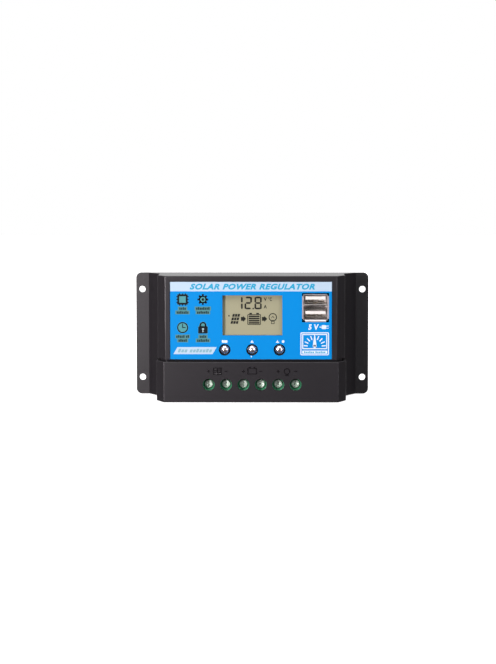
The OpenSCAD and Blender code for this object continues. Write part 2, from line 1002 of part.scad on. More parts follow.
module usb_contacts() {
    face_d = socket_front_d - insulator_back_l - running;
    color([0.83, 0.68, 0.32])
        for (z = port_low_z)
            for (i = [0:3]) {
                x = socket_x + (i - 1.5) * contact_pitch;
                block(
                    x - contact_w / 2, x + contact_w / 2,
                    face_d, socket_front_d - tongue_back - contact_short,
                    z + tongue_up - contact_t, z + tongue_up
                );
            }
}

module usb_board() {
    color(board_green)
        block(
            socket_x - usb_board_half_w, socket_x + usb_board_half_w, usb_board_d, usb_board_face_d,
            usb_board_low, usb_board_high
        );
}

module usb_board_pins() {
    pin_count = 6;
    first_x = socket_x - (pin_count - 1) * header_pitch / 2;
    rail_z = usb_board_low + usb_pins_up;
    color(bare_steel)
        for (i = [0:pin_count - 1]) {
            x = first_x + i * header_pitch;
            block(
                x - header_pin_half, x + header_pin_half, main_face_d, usb_board_d,
                rail_z - header_pin_half, rail_z + header_pin_half
            );
        }
    color(chip_black)
        block(
            first_x - header_pitch / 2, first_x + (pin_count - 0.5) * header_pitch,
            main_face_d, main_face_d + header_t,
            rail_z - header_pitch / 2, rail_z + header_pitch / 2
        );
}

// ---- Parts on the main board ----

module usb_inductor() {
    size = 12;
    tall = 7;
    x = 32;
    z = -2.5;
    corner_cut = size * 0.62;
    color([0.22, 0.22, 0.23])
        difference() {
            block(x - size / 2, x + size / 2, main_face_d, main_face_d + tall, z - size / 2, z + size / 2);
            for (turn = [45, 135, 225, 315])
                translate([x, 0, z])
                    rotate([0, turn, 0])
                        block(corner_cut, size, main_face_d - over, main_face_d + tall + over, -size, size);
        }
}

// Two electrolytic capacitors lying on the board, with their crimped ends
module input_capacitors() {
    groove = 0.5;
    groove_x = 3;
    lift = 0.3;
    axis_d = main_face_d + capacitor_r + lift;
    color([0.12, 0.14, 0.2])
        for (z = [9.4, 22.6])
            translate([capacitor_left_x, -axis_d, z])
                rotate([0, 90, 0])
                    difference() {
                        cylinder(h = capacitor_l, r = capacitor_r);
                        translate([0, 0, capacitor_l - groove_x])
                            rotate_extrude()
                                translate([capacitor_r, 0])
                                    circle(groove);
                    }
}

// A flat chip with legs along two sides
module chip(x, z, w, h, t, legs) {
    leg_l = 1;
    leg_t = 0.2;
    leg_w = 0.4;
    leg_pitch = h / legs;
    color(chip_black)
        block(x - w / 2, x + w / 2, main_face_d, main_face_d + t, z - h / 2, z + h / 2);
    color(bare_steel)
        for (sx = [-1, 1])
            for (i = [0:legs - 1]) {
                leg_x = x + sx * (w / 2 + leg_l / 2);
                leg_z = z - h / 2 + (i + 0.5) * leg_pitch;
                block(
                    leg_x - leg_l / 2, leg_x + leg_l / 2, main_face_d, main_face_d + leg_t,
                    leg_z - leg_w / 2, leg_z + leg_w / 2
                );
            }
}

module controller_chip() {
    chip(-4, 16, 9, 9, 1.4, 8);
}

module driver_chips() {
    for (x = [-8, 6])
        chip(x, 2, 3.9, 4.9, 1.5, 4);
}

// A flat strip of resistance metal, bent up over the board
module current_shunt() {
    x = 16;
    z = -4;
    w = 5;
    l = 14;
    tall = 3;
    t = 0.8;
    color([0.72, 0.5, 0.32]) {
        block(x - w / 2, x + w / 2, main_face_d + tall - t, main_face_d + tall, z - l / 2, z + l / 2);
        for (end_z = [z - l / 2, z + l / 2 - t])
            block(x - w / 2, x + w / 2, main_face_d, main_face_d + tall - t / 2, end_z, end_z + t);
    }
}

// A power diode lying on the board, with its metal tab and three leads
module blocking_diode() {
    x = -28;
    z = -2;
    w = 10;
    h = 9;
    t = 4.4;
    tab_t = 1.3;
    tab_l = 6;
    tab_hole_r = 1.8;
    color(chip_black)
        block(x - w / 2, x + w / 2, main_face_d, main_face_d + t, z - h / 2, z + h / 2);
    color(bare_steel)
        difference() {
            block(x + w / 2, x + w / 2 + tab_l, main_face_d, main_face_d + tab_t, z - h / 2, z + h / 2);
            rod([x + w / 2 + tab_l / 2, z], main_face_d - over, main_face_d + tab_t + over, tab_hole_r);
        }
}

module temperature_sensor() {
    bead_r = 1.2;
    x = 12;
    z = 26;
    stand = 3;
    lead_out = 0.6;
    lead_r = 0.2;
    color([0.1, 0.1, 0.1])
        translate([x, -(main_face_d + stand), z])
            sphere(bead_r);
    color(bare_steel)
        for (sx = [-1, 1])
            rod([x + sx * lead_out, z], main_face_d, main_face_d + stand, lead_r);
}

// The strip of pins that joins the display board to the main board
module board_header() {
    pin_count = 8;
    x = -8;
    half = header_pitch / 2;
    z = lcd_pin_z + lcd_pin_w + header_over_pins + half;
    first_x = x - (pin_count - 1) * half;
    last_x = x + (pin_count - 1) * half;
    receiver_l = 8.5;
    pin_end = 8;
    color(chip_black) {
        block(first_x - half, last_x + half, main_face_d, main_face_d + header_t, z - half, z + half);
        block(first_x - half, last_x + half, display_d - receiver_l, display_d, z - half, z + half);
    }
    color(bare_steel)
        for (i = [0:pin_count - 1])
            block(
                first_x + i * header_pitch - header_pin_half, first_x + i * header_pitch + header_pin_half,
                main_face_d, display_d - pin_end, z - header_pin_half, z + header_pin_half
            );
}

// ---- Screw terminals ----

// A moulded block for two neighbouring terminals
module terminal_block(first) {
    left = terminal_places[first] - terminal_pitch / 2 + block_gap / 2;
    right = terminal_places[first + 1] + terminal_pitch / 2 - block_gap / 2;
    color(block_green)
        difference() {
            block(left, right, main_face_d, block_top_d, block_low_z, block_top_z);
            for (x = [terminal_places[first], terminal_places[first + 1]])
                terminal_pocket(x);
        }
}

// The bores and the pocket that hold a screw, its clamp cage and its contact, with the wire's way in
module terminal_pocket(x) {
    entry_w = cage_clear + fit;
    cage_half = cage_w / 2 + fit;
    rod([x, terminal_z], head_d - running, block_top_d + over, screw_head_r + head_gap);
    rod([x, terminal_z], shelf_d - over, head_d + over, shaft_bore_r);
    block(
        x - cage_half, x + cage_half, cage_floor_d - cage_room, shelf_d,
        terminal_z - cage_deep / 2 - cage_end_gap, terminal_z + cage_deep / 2 + cage_end_gap
    );
    block(
        x - entry_w / 2, x + entry_w / 2, wire_floor_d - fit, bar_top_d - fit / 2,
        block_low_z - over, terminal_z
    );
    block(
        x - bar_half - fit, x + bar_half + fit, main_face_d - over, bar_top_d + fit,
        terminal_z, pin_back_z + fit
    );
}

module terminal_block_solar() {
    terminal_block(0);
}

module terminal_block_battery() {
    terminal_block(2);
}

module terminal_block_load() {
    terminal_block(4);
}

// The pin of a contact, with a gap all round it when it is cut as a hole
module contact_pin(x, d0, d1, gap) {
    block(x - pin_w / 2 - gap, x + pin_w / 2 + gap, d0, d1, pin_back_z - pin_t - gap, pin_back_z + gap);
}

// Each contact is a bar over the wire, bent down to a pin through the board
module terminal_contacts() {
    color([0.78, 0.72, 0.6])
        for (x = terminal_places) {
            block(
                x - bar_half, x + bar_half, bar_d, bar_top_d,
                terminal_z - cage_deep / 2 + fit, pin_back_z
            );
            contact_pin(x, main_d - pin_below, bar_d + fit / 2, 0);
        }
}

module terminal_screw(x) {
    place = [x, terminal_z];
    color(bare_steel)
        difference() {
            union() {
                rod(place, head_d, head_d + head_t, screw_head_r);
                rod(place, bar_top_d + fit, head_d + running, screw_r);
            }
            cross_recess(place, head_d + head_t - recess_deep, head_d + head_t + over);
        }
}

// The open-ended metal cage that a screw lifts to grip the wire against the contact
module clamp_cage(x) {
    z0 = terminal_z - cage_deep / 2;
    z1 = terminal_z + cage_deep / 2;
    color([0.7, 0.7, 0.68])
        difference() {
            block(x - cage_w / 2, x + cage_w / 2, cage_floor_d, cage_top_d, z0, z1);
            block(x - cage_clear / 2, x + cage_clear / 2, wire_floor_d, nut_d, z0 - over, z1 + over);
            rod([x, terminal_z], nut_d - over, cage_top_d + over, screw_r + running);
        }
}

module terminal_screw_1() { terminal_screw(terminal_places[0]); }
module terminal_screw_2() { terminal_screw(terminal_places[1]); }
module terminal_screw_3() { terminal_screw(terminal_places[2]); }
module terminal_screw_4() { terminal_screw(terminal_places[3]); }
module terminal_screw_5() { terminal_screw(terminal_places[4]); }
module terminal_screw_6() { terminal_screw(terminal_places[5]); }

module clamp_cage_1() { clamp_cage(terminal_places[0]); }
module clamp_cage_2() { clamp_cage(terminal_places[1]); }
module clamp_cage_3() { clamp_cage(terminal_places[2]); }
module clamp_cage_4() { clamp_cage(terminal_places[3]); }
module clamp_cage_5() { clamp_cage(terminal_places[4]); }
module clamp_cage_6() { clamp_cage(terminal_places[5]); }

base_plate();
insulating_sheet();
thermal_pads();
mosfets();
board_spacers();
board_screws();
main_board();
case_screws();
front_shell();
terminal_cover();
front_label();
lcd_glass();
lcd_polariser();
lcd_backlight();
lcd_pins();
display_board();
display_board_screws();
button_left();
button_middle();
button_right();
switch_left();
switch_middle();
switch_right();
plunger_left();
plunger_middle();
plunger_right();
switch_domes();
usb_shell();
usb_divider();
usb_insulator();
usb_contacts();
usb_board();
usb_board_pins();
usb_inductor();
input_capacitors();
controller_chip();
driver_chips();
current_shunt();
blocking_diode();
temperature_sensor();
board_header();
terminal_block_solar();
terminal_block_battery();
terminal_block_load();
terminal_contacts();
terminal_screw_1();
terminal_screw_2();
terminal_screw_3();
terminal_screw_4();
terminal_screw_5();
terminal_screw_6();
clamp_cage_1();
clamp_cage_2();
clamp_cage_3();
clamp_cage_4();
clamp_cage_5();
clamp_cage_6();
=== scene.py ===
import json
import math

import bmesh
import bpy
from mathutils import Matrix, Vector
from mathutils.bvhtree import BVHTree

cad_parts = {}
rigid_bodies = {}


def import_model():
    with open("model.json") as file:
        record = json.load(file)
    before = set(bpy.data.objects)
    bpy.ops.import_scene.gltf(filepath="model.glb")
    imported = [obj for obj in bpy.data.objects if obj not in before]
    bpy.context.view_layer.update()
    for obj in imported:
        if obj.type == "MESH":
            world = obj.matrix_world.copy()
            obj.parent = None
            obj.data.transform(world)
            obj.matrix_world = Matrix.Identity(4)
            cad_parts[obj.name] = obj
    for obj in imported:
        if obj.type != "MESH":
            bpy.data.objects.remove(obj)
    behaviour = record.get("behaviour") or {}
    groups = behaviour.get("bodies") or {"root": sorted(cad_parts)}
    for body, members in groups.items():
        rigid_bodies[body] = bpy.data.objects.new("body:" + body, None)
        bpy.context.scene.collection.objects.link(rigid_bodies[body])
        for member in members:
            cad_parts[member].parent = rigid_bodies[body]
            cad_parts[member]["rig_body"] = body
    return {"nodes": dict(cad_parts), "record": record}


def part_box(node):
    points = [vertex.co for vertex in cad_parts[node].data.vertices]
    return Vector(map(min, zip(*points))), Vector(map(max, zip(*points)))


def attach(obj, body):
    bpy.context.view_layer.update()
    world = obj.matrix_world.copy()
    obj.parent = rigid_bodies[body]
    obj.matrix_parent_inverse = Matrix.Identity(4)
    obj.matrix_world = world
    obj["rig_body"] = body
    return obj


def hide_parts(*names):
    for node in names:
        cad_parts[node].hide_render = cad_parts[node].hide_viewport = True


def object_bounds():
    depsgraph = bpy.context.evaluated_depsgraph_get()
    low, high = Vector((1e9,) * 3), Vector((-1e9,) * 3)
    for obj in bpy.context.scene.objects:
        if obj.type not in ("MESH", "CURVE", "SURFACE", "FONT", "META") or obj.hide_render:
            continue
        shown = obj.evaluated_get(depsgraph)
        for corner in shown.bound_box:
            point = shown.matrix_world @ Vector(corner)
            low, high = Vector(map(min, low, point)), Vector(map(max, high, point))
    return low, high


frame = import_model()
cad_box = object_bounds()
nodes = frame["nodes"]

MM = 0.001
scene = bpy.context.scene


# ---- Materials ----

def linear(hex_colour):
    """An sRGB hex colour as linear red, green, blue and alpha."""
    parts = [int(hex_colour[i:i + 2], 16) / 255 for i in (1, 3, 5)]
    return [p / 12.92 if p <= 0.04045 else ((p + 0.055) / 1.055) ** 2.4 for p in parts] + [1.0]


def add(tree, kind, settings=None, inputs=None):
    """Adds one shader node. Each input is a plain value, or a socket that is linked to it."""
    made = tree.nodes.new(kind)
    for name, value in (settings or {}).items():
        setattr(made, name, value)
    for name, value in (inputs or {}).items():
        if isinstance(value, bpy.types.NodeSocket):
            tree.links.new(value, made.inputs[name])
        else:
            made.inputs[name].default_value = value
    return made


def surface(name, colour, roughness, tone=0.1, tone_mm=14, grain_mm=0.5, grain_depth_mm=0.01,
            rough_spread=0.06, stretch=(1, 1, 1), plain=None):
    """A solid finish: a slow drift in tone, a fine grain in relief and gloss, and plain shader values."""
    material = bpy.data.materials.new(name)
    material.use_nodes = True
    tree = material.node_tree
    shader = tree.nodes["Principled BSDF"]
    place = add(tree, "ShaderNodeTexCoord").outputs["Object"]
    drawn = add(tree, "ShaderNodeMapping", inputs={"Vector": place, "Scale": stretch}).outputs["Vector"]
    drift = add(tree, "ShaderNodeTexNoise",
                inputs={"Vector": place, "Scale": 1 / (tone_mm * MM), "Detail": 3})
    grain = add(tree, "ShaderNodeTexNoise",
                inputs={"Vector": drawn, "Scale": 1 / (grain_mm * MM), "Detail": 2})
    base = linear(colour)
    dark = [c * (1 - tone) for c in base[:3]] + [1]
    light = [min(1, c * (1 + tone)) for c in base[:3]] + [1]
    mixed = add(tree, "ShaderNodeMixRGB",
                inputs={"Fac": drift.outputs["Fac"], "Color1": dark, "Color2": light})
    gloss = add(tree, "ShaderNodeMapRange",
                inputs={"Value": grain.outputs["Fac"], "From Min": 0.3, "From Max": 0.7,
                        "To Min": roughness - rough_spread, "To Max": roughness + rough_spread})
    relief = add(tree, "ShaderNodeBump",
                 inputs={"Height": grain.outputs["Fac"], "Strength": 0.5, "Distance": grain_depth_mm * MM})
    tree.links.new(mixed.outputs["Color"], shader.inputs["Base Color"])
    tree.links.new(gloss.outputs["Result"], shader.inputs["Roughness"])
    tree.links.new(relief.outputs["Normal"], shader.inputs["Normal"])
    for socket, value in (plain or {}).items():
        shader.inputs[socket].default_value = value
    return material


def moulded_abs():
    # Black ABS from a fine-textured mould: satin, with a broad soft highlight and slightly warm
    return surface("moulded_black_abs", "#201e21", 0.36, tone=0.08, grain_mm=0.45, grain_depth_mm=0.012,
                   plain={"IOR": 1.53})


def anodised_plate():
    # Black anodised aluminium sheet: a thin dark dye layer over rolled metal, duller than the case
    return surface("anodised_aluminium", "#1f1e20", 0.4, tone=0.1, grain_mm=0.4, grain_depth_mm=0.008,
                   stretch=(0.12, 1, 1), plain={"IOR": 1.6})


def printed_polycarbonate():
    # Polycarbonate label film, printed sky blue on its back: clear colour under an even satin skin
    return surface("printed_polycarbonate", "#0485cf", 0.38, tone=0.025, tone_mm=30, grain_mm=0.35,
                   grain_depth_mm=0.003, plain={"IOR": 1.58, "Specular IOR Level": 0.1})


def printing_ink(name, colour):
    # Screen-printed ink: flat colour with the faint mottle of a mesh
    return surface(name, colour, 0.42, tone=0.03, tone_mm=6, grain_mm=0.3, grain_depth_mm=0.002,
                   plain={"Specular IOR Level": 0.15})


def display_film():
    # The front polariser over a reflective display: greyish olive, with an anti-glare skin
    return surface("display_polariser", "#9d9b7f", 0.33, tone=0.02, tone_mm=25, grain_mm=0.25,
                   grain_depth_mm=0.002, plain={"IOR": 1.49, "Specular IOR Level": 0.2})


def display_segments():
    # Driven liquid crystal: nearly black, under the same film
    return surface("display_segments_on", "#12150f", 0.35, tone=0.05, tone_mm=5, grain_mm=0.25,
                   grain_depth_mm=0.002)


def display_glass():
    # Float glass with its ground edge, tinted by the cell behind it
    return surface("display_glass_cell", "#8f9a80", 0.08, tone=0.03, grain_mm=2, grain_depth_mm=0.001,
                   rough_spread=0.02, plain={"IOR": 1.52, "Transmission Weight": 0.5})


def moulded(name, colour, roughness=0.45, grain_mm=0.4):
    # A plain moulded plastic: even colour, a little grain, soft edges to its highlights
    return surface(name, colour, roughness, tone=0.06, tone_mm=8, grain_mm=grain_mm, grain_depth_mm=0.01,
                   plain={"IOR": 1.5})


def plated(name, colour, roughness, grain_mm=0.25, stretch=(1, 1, 1), tone=0.08):
    # A plated metal: mirror tint of the plating, broken up by drawing or tumbling marks
    return surface(name, colour, roughness, tone=tone, tone_mm=3, grain_mm=grain_mm, grain_depth_mm=0.004,
                   rough_spread=0.07, stretch=stretch, plain={"Metallic": 1.0})


def solder_mask():
    """Green solder mask, with copper tracks that show through it as paler lines."""
    material = surface("solder_mask_board", "#0c4a26", 0.28, tone=0.08, grain_mm=0.5, grain_depth_mm=0.004,
                       plain={"IOR": 1.55})
    tree = material.node_tree
    shader = tree.nodes["Principled BSDF"]
    under = shader.inputs["Base Color"].links[0].from_socket
    place = add(tree, "ShaderNodeTexCoord").outputs["Object"]
    turned = add(tree, "ShaderNodeMapping", inputs={"Vector": place, "Rotation": (math.pi / 2, 0, 0)})
    tracks = add(tree, "ShaderNodeTexBrick", {"offset": 0.35, "squash": 0.6, "squash_frequency": 3},
                 {"Vector": turned.outputs["Vector"], "Scale": 100, "Mortar Size": 0.035,
                  "Brick Width": 0.9, "Row Height": 0.22, "Color1": (0, 0, 0, 1), "Color2": (0, 0, 0, 1),
                  "Mortar": (1, 1, 1, 1)})
    lined = add(tree, "ShaderNodeMixRGB",
                inputs={"Fac": tracks.outputs["Color"], "Color1": under, "Color2": linear("#1d7440")})
    tree.links.new(lined.outputs["Color"], shader.inputs["Base Color"])
    return material


abs_black = moulded_abs()
plate_black = anodised_plate()
label_blue = printed_polycarbonate()
film = display_film()
segments = display_segments()
glass = display_glass()
board_green = solder_mask()
ink_white = printing_ink("ink_white", "#d6e2ec")
ink_strip = printing_ink("ink_title_strip", "#b4cadb")
ink_title = printing_ink("ink_title_blue", "#2f9ec4")
ink_black = printing_ink("ink_black", "#10181d")
ink_caption = printing_ink("ink_caption", "#22383c")
ink_halo = printing_ink("ink_halo", "#4f8486")
ink_backing = printing_ink("ink_backing", "#4f9396")
ink_badge = printing_ink("ink_badge", "#83adbb")
ink_pale = printing_ink("ink_pale", "#a8c8cf")
# Nylon terminal blocks: mid green, slightly translucent and waxy
nylon_green = moulded("nylon_terminal_green", "#3b9165", 0.42)
# Socket insulator and backlight: white nylon and milky acrylic
plastic_white = moulded("nylon_white", "#e9e6df", 0.4)
# The same black plastic against polished steel in the mould: glossy, and darker for it
polished_black = moulded("polished_black_abs", "#151316", 0.18)
# Pin strips and button carriers: glass-filled nylon, dull black
plastic_header = moulded("header_black", "#121212", 0.5)
# Switch bodies: dark grey, glass-filled
plastic_switch = moulded("switch_grey", "#2b2b2d", 0.45)
# Switch plungers: ochre acetal, smooth
plastic_plunger = moulded("acetal_ochre", "#c98a26", 0.35)
# Transfer-moulded epoxy: matt, almost black, sandy
epoxy = moulded("epoxy_package", "#17171a", 0.6, grain_mm=0.3)
# Pressed and sintered ferrite: dark grey, dry and granular
ferrite = moulded("sintered_ferrite", "#39393c", 0.7, grain_mm=0.35)
# Shrunk PVC sleeve: dark blue-black, glossy
sleeve = moulded("shrink_sleeve", "#151a2c", 0.25, grain_mm=1.5)
# Polyester film, cream, smooth
polyester = moulded("polyester_film", "#d9d3b4", 0.35)
# Filled silicone pad: grey-blue, soft and dull
silicone = moulded("silicone_pad_grey", "#8b93a3", 0.65)
# Terminal screws: zinc, cloudy, its colour brightened and tinted green: painted light and a painted
# reflection of the green terminal blocks
screw_zinc_painted_light = plated("zinc_painted_light_green_reflection", "#e2f6e4", 0.45, grain_mm=0.5, tone=0.12)
# Bright zinc over the other pressed steel: cool, slightly cloudy
zinc = plated("zinc_plated_steel", "#c3c8c6", 0.3)
# Nickel over the folded shell of the socket: pale, satin, with lengthwise rolling marks, painted paler and
# pinker than the nickel inside it as painted light and a painted pink reflection on the socket's mouth
socket_nickel_painted_light = plated("nickel_sheet_painted_light", "#efe7e8", 0.42, stretch=(0.1, 1, 1))
# Nickel over the other folded sheet: the same nickel without the painted light, warmer and darker, with
# the same marks
nickel = plated("nickel_plated_sheet", "#c9c4bf", 0.3, stretch=(0.1, 1, 1))
# Matt tin: pale and soft
tin = plated("matt_tin", "#cfcec8", 0.42)
# Thin gold over nickel
gold = plated("gold_flash", "#d9b45a", 0.22)
# Chrome over a moulded dome: bright, slightly hazed by handling, its colour lifted and tinted pink as
# painted light and a painted pink reflection
chrome_painted_light = plated("chrome_painted_pink_reflection", "#f3eaec", 0.24, grain_mm=0.8, tone=0.05)
# Rolled resistance alloy, copper coloured
alloy = plated("rolled_copper_alloy", "#b97c54", 0.35, stretch=(1, 1, 0.1))
# Turned brass: fine rings along the bar
brass = plated("turned_brass", "#c8a04a", 0.28, stretch=(1, 8, 1))

FINISHES = {
    "black_abs": abs_black,
    "black_aluminium": plate_black,
    "printed_label": label_blue,
    "display_glass": glass,
    "display_film": film,
    "white_plastic": plastic_white,
    "tinned_metal": tin,
    "circuit_board": board_green,
    "zinc_steel": zinc,
    "nickel_steel": nickel,
    "gold_contact": gold,
    "ferrite": ferrite,
    "capacitor_sleeve": sleeve,
    "chip_epoxy": epoxy,
    "copper_alloy": alloy,
    "header_plastic": plastic_header,
    "green_plastic": nylon_green,
    "chrome_cap": chrome_painted_light,
    "switch_plastic": plastic_switch,
    "plunger_plastic": plastic_plunger,
    "brass": brass,
    "polyester_sheet": polyester,
    "silicone_pad": silicone,
}

slot_of = {row["node"]: row["material_slot"] for row in frame["record"]["subparts"]}


def finish_cad_nodes():
    """Gives every node of the frame the finish of its material slot."""
    for name, piece in nodes.items():
        for each in piece.material_slots:
            each.material = FINISHES[slot_of[name]]


# ---- Making pieces ----

def body_of(node):
    return nodes[node]["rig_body"]


def make_piece(bm, name, material, like, replaces=(), sharp_deg=35):
    """Turns a finished bmesh into a piece in the given material, riding with the node named."""
    bmesh.ops.remove_doubles(bm, verts=bm.verts, dist=0.0005 * MM)
    bmesh.ops.recalc_face_normals(bm, faces=bm.faces)
    for face in bm.faces:
        face.smooth = True
    mesh = bpy.data.meshes.new(name)
    bm.to_mesh(mesh)
    bm.free()
    mesh.materials.append(material)
    mesh.set_sharp_from_angle(angle=math.radians(sharp_deg))
    piece = bpy.data.objects.new(name, mesh)
    scene.collection.objects.link(piece)
    even = piece.modifiers.new("even_shading", "WEIGHTED_NORMAL")
    even.keep_sharp = True
    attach(piece, body_of(like))
    if replaces:
        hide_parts(*replaces)
    return piece


def merged_copy(node):
    """A bmesh copy of a node, its loose triangles merged back into flat faces."""
    bm = bmesh.new()
    bm.from_mesh(nodes[node].data)
    bmesh.ops.remove_doubles(bm, verts=bm.verts, dist=0.002 * MM)
    bmesh.ops.dissolve_limit(
        bm, angle_limit=math.radians(0.3), verts=bm.verts, edges=bm.edges, delimit=set())
    bm.normal_update()
    return bm


def open_edges(bm, least_mm, least_deg):
    """Edges that can be seen from outside, each with the height of the narrower face beside it."""
    tree = BVHTree.FromBMesh(bm)
    found = []
    for edge in bm.edges:
        length = edge.calc_length()
        if length < least_mm * MM or len(edge.link_faces) != 2:
            continue
        angle = edge.calc_face_angle_signed(0)
        if abs(angle) < math.radians(least_deg) or angle < math.radians(-45):
            continue
        middle = (edge.verts[0].co + edge.verts[1].co) / 2
        away = (edge.link_faces[0].normal + edge.link_faces[1].normal).normalized()
        if tree.ray_cast(middle + away * 0.05 * MM, away)[0] is None:
            found.append((edge, min(face.calc_area() / length for face in edge.link_faces)))
    return found


def bevel(bm, edges, width, segments=3):
    bmesh.ops.bevel(bm, geom=edges, offset=width, offset_type="OFFSET", affect="EDGES",
                    segments=segments, profile=0.5, material=-1, clamp_overlap=False)


def softened(node, material, width, fine_width):
    """A copy of a moulding with the small radii of its tool along the edges that show."""
    least_mm, least_deg = 2.5, 12
    fine_face_mm, thin_face_mm = 0.7, 0.35
    bm = merged_copy(node)
    found = open_edges(bm, least_mm, least_deg)
    fine = [edge for edge, height in found if thin_face_mm * MM < height < fine_face_mm * MM]
    broad = [edge for edge, height in found if height >= fine_face_mm * MM]
    if fine:
        bevel(bm, fine, fine_width, 2)
    broad = [edge for edge in broad if edge.is_valid]
    bevel(bm, broad, width)
    return make_piece(bm, node + "_moulded", material, node, [node])


def extrude(bm, faces, move):
    """Draws faces out into a closed solid."""
    drawn = bmesh.ops.extrude_face_region(bm, geom=faces)["geom"]
    moved = [v for v in drawn if isinstance(v, bmesh.types.BMVert)]
    bmesh.ops.translate(bm, verts=moved, vec=move)


def prism(bm, outline, low, high):
    """A flat plate from an outline of (across, up) points, between two heights out from the wall."""
    face = bm.faces.new([bm.verts.new((x, -low, z)) for x, z in outline])
    extrude(bm, [face], (0, low - high, 0))


def frame_prism(bm, outline, line, low, high):
    """A closed outline drawn as a line of the given width inside it."""
    face = bm.faces.new([bm.verts.new((x, -low, z)) for x, z in outline])
    face.normal_update()
    ring = bmesh.ops.inset_region(
        bm, faces=[face], thickness=line, use_boundary=True, use_even_offset=True)["faces"]
    bmesh.ops.delete(bm, geom=[face], context="FACES_ONLY")
    extrude(bm, ring, (0, low - high, 0))


def arc(x, z, r, first_deg=0, last_deg=360, steps=24):
    """Points round an arc; a whole turn leaves out the repeated end."""
    whole = abs(last_deg - first_deg) >= 360
    count = steps if whole else steps + 1
    turns = [math.radians(first_deg + (last_deg - first_deg) * i / steps) for i in range(count)]
    return [(x + r * math.cos(t), z + r * math.sin(t)) for t in turns]


def oblong(x, z, w, h, r=0.0, lean=0.0):
    """A rectangle round a centre, with rounded corners, leaning right by a share of its height."""
    if r == 0:
        points = [(x + sx * w / 2, z + sz * h / 2) for sx, sz in ((-1, -1), (1, -1), (1, 1), (-1, 1))]
    else:
        points = []
        for sx, sz, first in ((1, -1, -90), (1, 1, 0), (-1, 1, 90), (-1, -1, 180)):
            points += arc(x + sx * (w / 2 - r), z + sz * (h / 2 - r), r, first, first + 90, 4)
    return [(px + (pz - z) * lean, pz) for px, pz in points]


def bar(start, end, w, end_w=None):
    """A straight bar between two points, tapering to end_w."""
    along = Vector(end) - Vector(start)
    side = Vector((-along.y, along.x)).normalized() / 2
    near, far = side * w, side * (w if end_w is None else end_w)
    corners = [Vector(start) - near, Vector(end) - far, Vector(end) + far, Vector(start) + near]
    return [tuple(c) for c in corners]


def letters(text, left, right, low, high, near, far, lean=0.0, weight=0.0):
    """Generic capitals between the given limits, as a closed bmesh."""
    curve = bpy.data.curves.new("lettering", "FONT")
    curve.body = text
    curve.shear = lean
    curve.extrude = 0.05
    curve.resolution_u = 4
    curve.space_character = 1.12
    curve.offset = weight
    holder = bpy.data.objects.new("lettering", curve)
    scene.collection.objects.link(holder)
    bpy.context.view_layer.update()
    mesh = bpy.data.meshes.new_from_object(holder.evaluated_get(bpy.context.evaluated_depsgraph_get()))
    bpy.data.objects.remove(holder)
    bm = bmesh.new()
    bm.from_mesh(mesh)
    bmesh.ops.remove_doubles(bm, verts=bm.verts, dist=0.0001)
    x0, x1 = min(v.co.x for v in bm.verts), max(v.co.x for v in bm.verts)
    y0, y1 = min(v.co.y for v in bm.verts), max(v.co.y for v in bm.verts)
    for v in bm.verts:
        across = left + (v.co.x - x0) / (x1 - x0) * (right - left)
        up = low + (v.co.y - y0) / (y1 - y0) * (high - low)
        v.co = (across, -far if v.co.z > 0 else -near, up)
    return bm


def joined(parts):
    """One bmesh from several."""
    whole = bmesh.new()
    for part in parts:
        mesh = bpy.data.meshes.new("part")
        part.to_mesh(mesh)
        part.free()
        whole.from_mesh(mesh)
        bpy.data.meshes.remove(mesh)
    return whole


# ---- Case ----

softened("front_shell", abs_black, 0.45 * MM, 0.15 * MM)
softened("terminal_cover", abs_black, 0.45 * MM, 0.12 * MM)


def plate_edges():
    """The back plate with its pressed edges broken all round and at its holes."""
    bm = merged_copy("base_plate")
    square = [e for e in bm.edges if len(e.link_faces) == 2
              and e.calc_face_angle_signed(0) > math.radians(70)
              and (e.verts[0].co - e.verts[1].co).normalized().y ** 2 < 0.5]
    bevel(bm, square, 0.25 * MM, 2)
    return make_piece(bm, "base_plate_pressed", plate_black, "base_plate", ["base_plate"])


plate_edges()

# ---- Printed label ----

label_low, label_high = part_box("front_label")
face_d = -label_low.y
label_left, label_right = label_low.x, label_high.x
label_bottom, label_top = label_low.z, label_high.z
INK_T = 0.02 * MM
under_ink = (face_d, face_d + INK_T)
over_ink = (face_d, face_d + 2 * INK_T)
top_ink = (face_d, face_d + 3 * INK_T)

strip_h = 5.2 * MM
strip_low = label_top - strip_h


def title_strip():
    bm = bmesh.new()
    prism(bm, [(label_left, strip_low), (label_right, strip_low),
               (label_right, label_top), (label_left, label_top)], *under_ink)
    return make_piece(bm, "label_title_strip", ink_strip, "front_label")


def title():
    inset = 10.8 * MM
    middle = strip_low + strip_h / 2
    half = 1.65 * MM
    bm = letters("SOLAR POWER REGULATOR", label_left + inset, label_right - inset + 1.5 * MM,
                 middle - half, middle + half, *over_ink, lean=0.3, weight=0.05)
    return make_piece(bm, "label_title", ink_title, "front_label")


icon_x = [label_left + 6.8 * MM, label_left + 18.0 * MM]
icon_z = [label_top - 9.7 * MM, label_top - 25.2 * MM]


def greeked_line(bm, x, z, words, height, near, far, lean=0.0, step=0.95 * MM):
    """A row of small blocks in place of unreadable lettering. words gives the blocks in each word."""
    gap = step * 0.6
    length = sum(words) * step + (len(words) - 1) * gap
    left = x - length / 2
    for count in words:
        for i in range(count):
            tall = height * (0.82 if (i + count) % 3 else 1.0)
            low = z - height / 2
            block = oblong(left + step * (i + 0.5), low + tall / 2, step * 0.78, tall, lean=lean)
            prism(bm, block, near, far)
        left += count * step + gap


# For each symbol, two lines, each with the number of letters in its words
CAPTIONS = [((4,), (7,)), ((8,), (7,)), ((5, 2), (5,)), ((4,), (7,))]


def icon_centres():
    return [(x, z) for z in icon_z for x in icon_x]


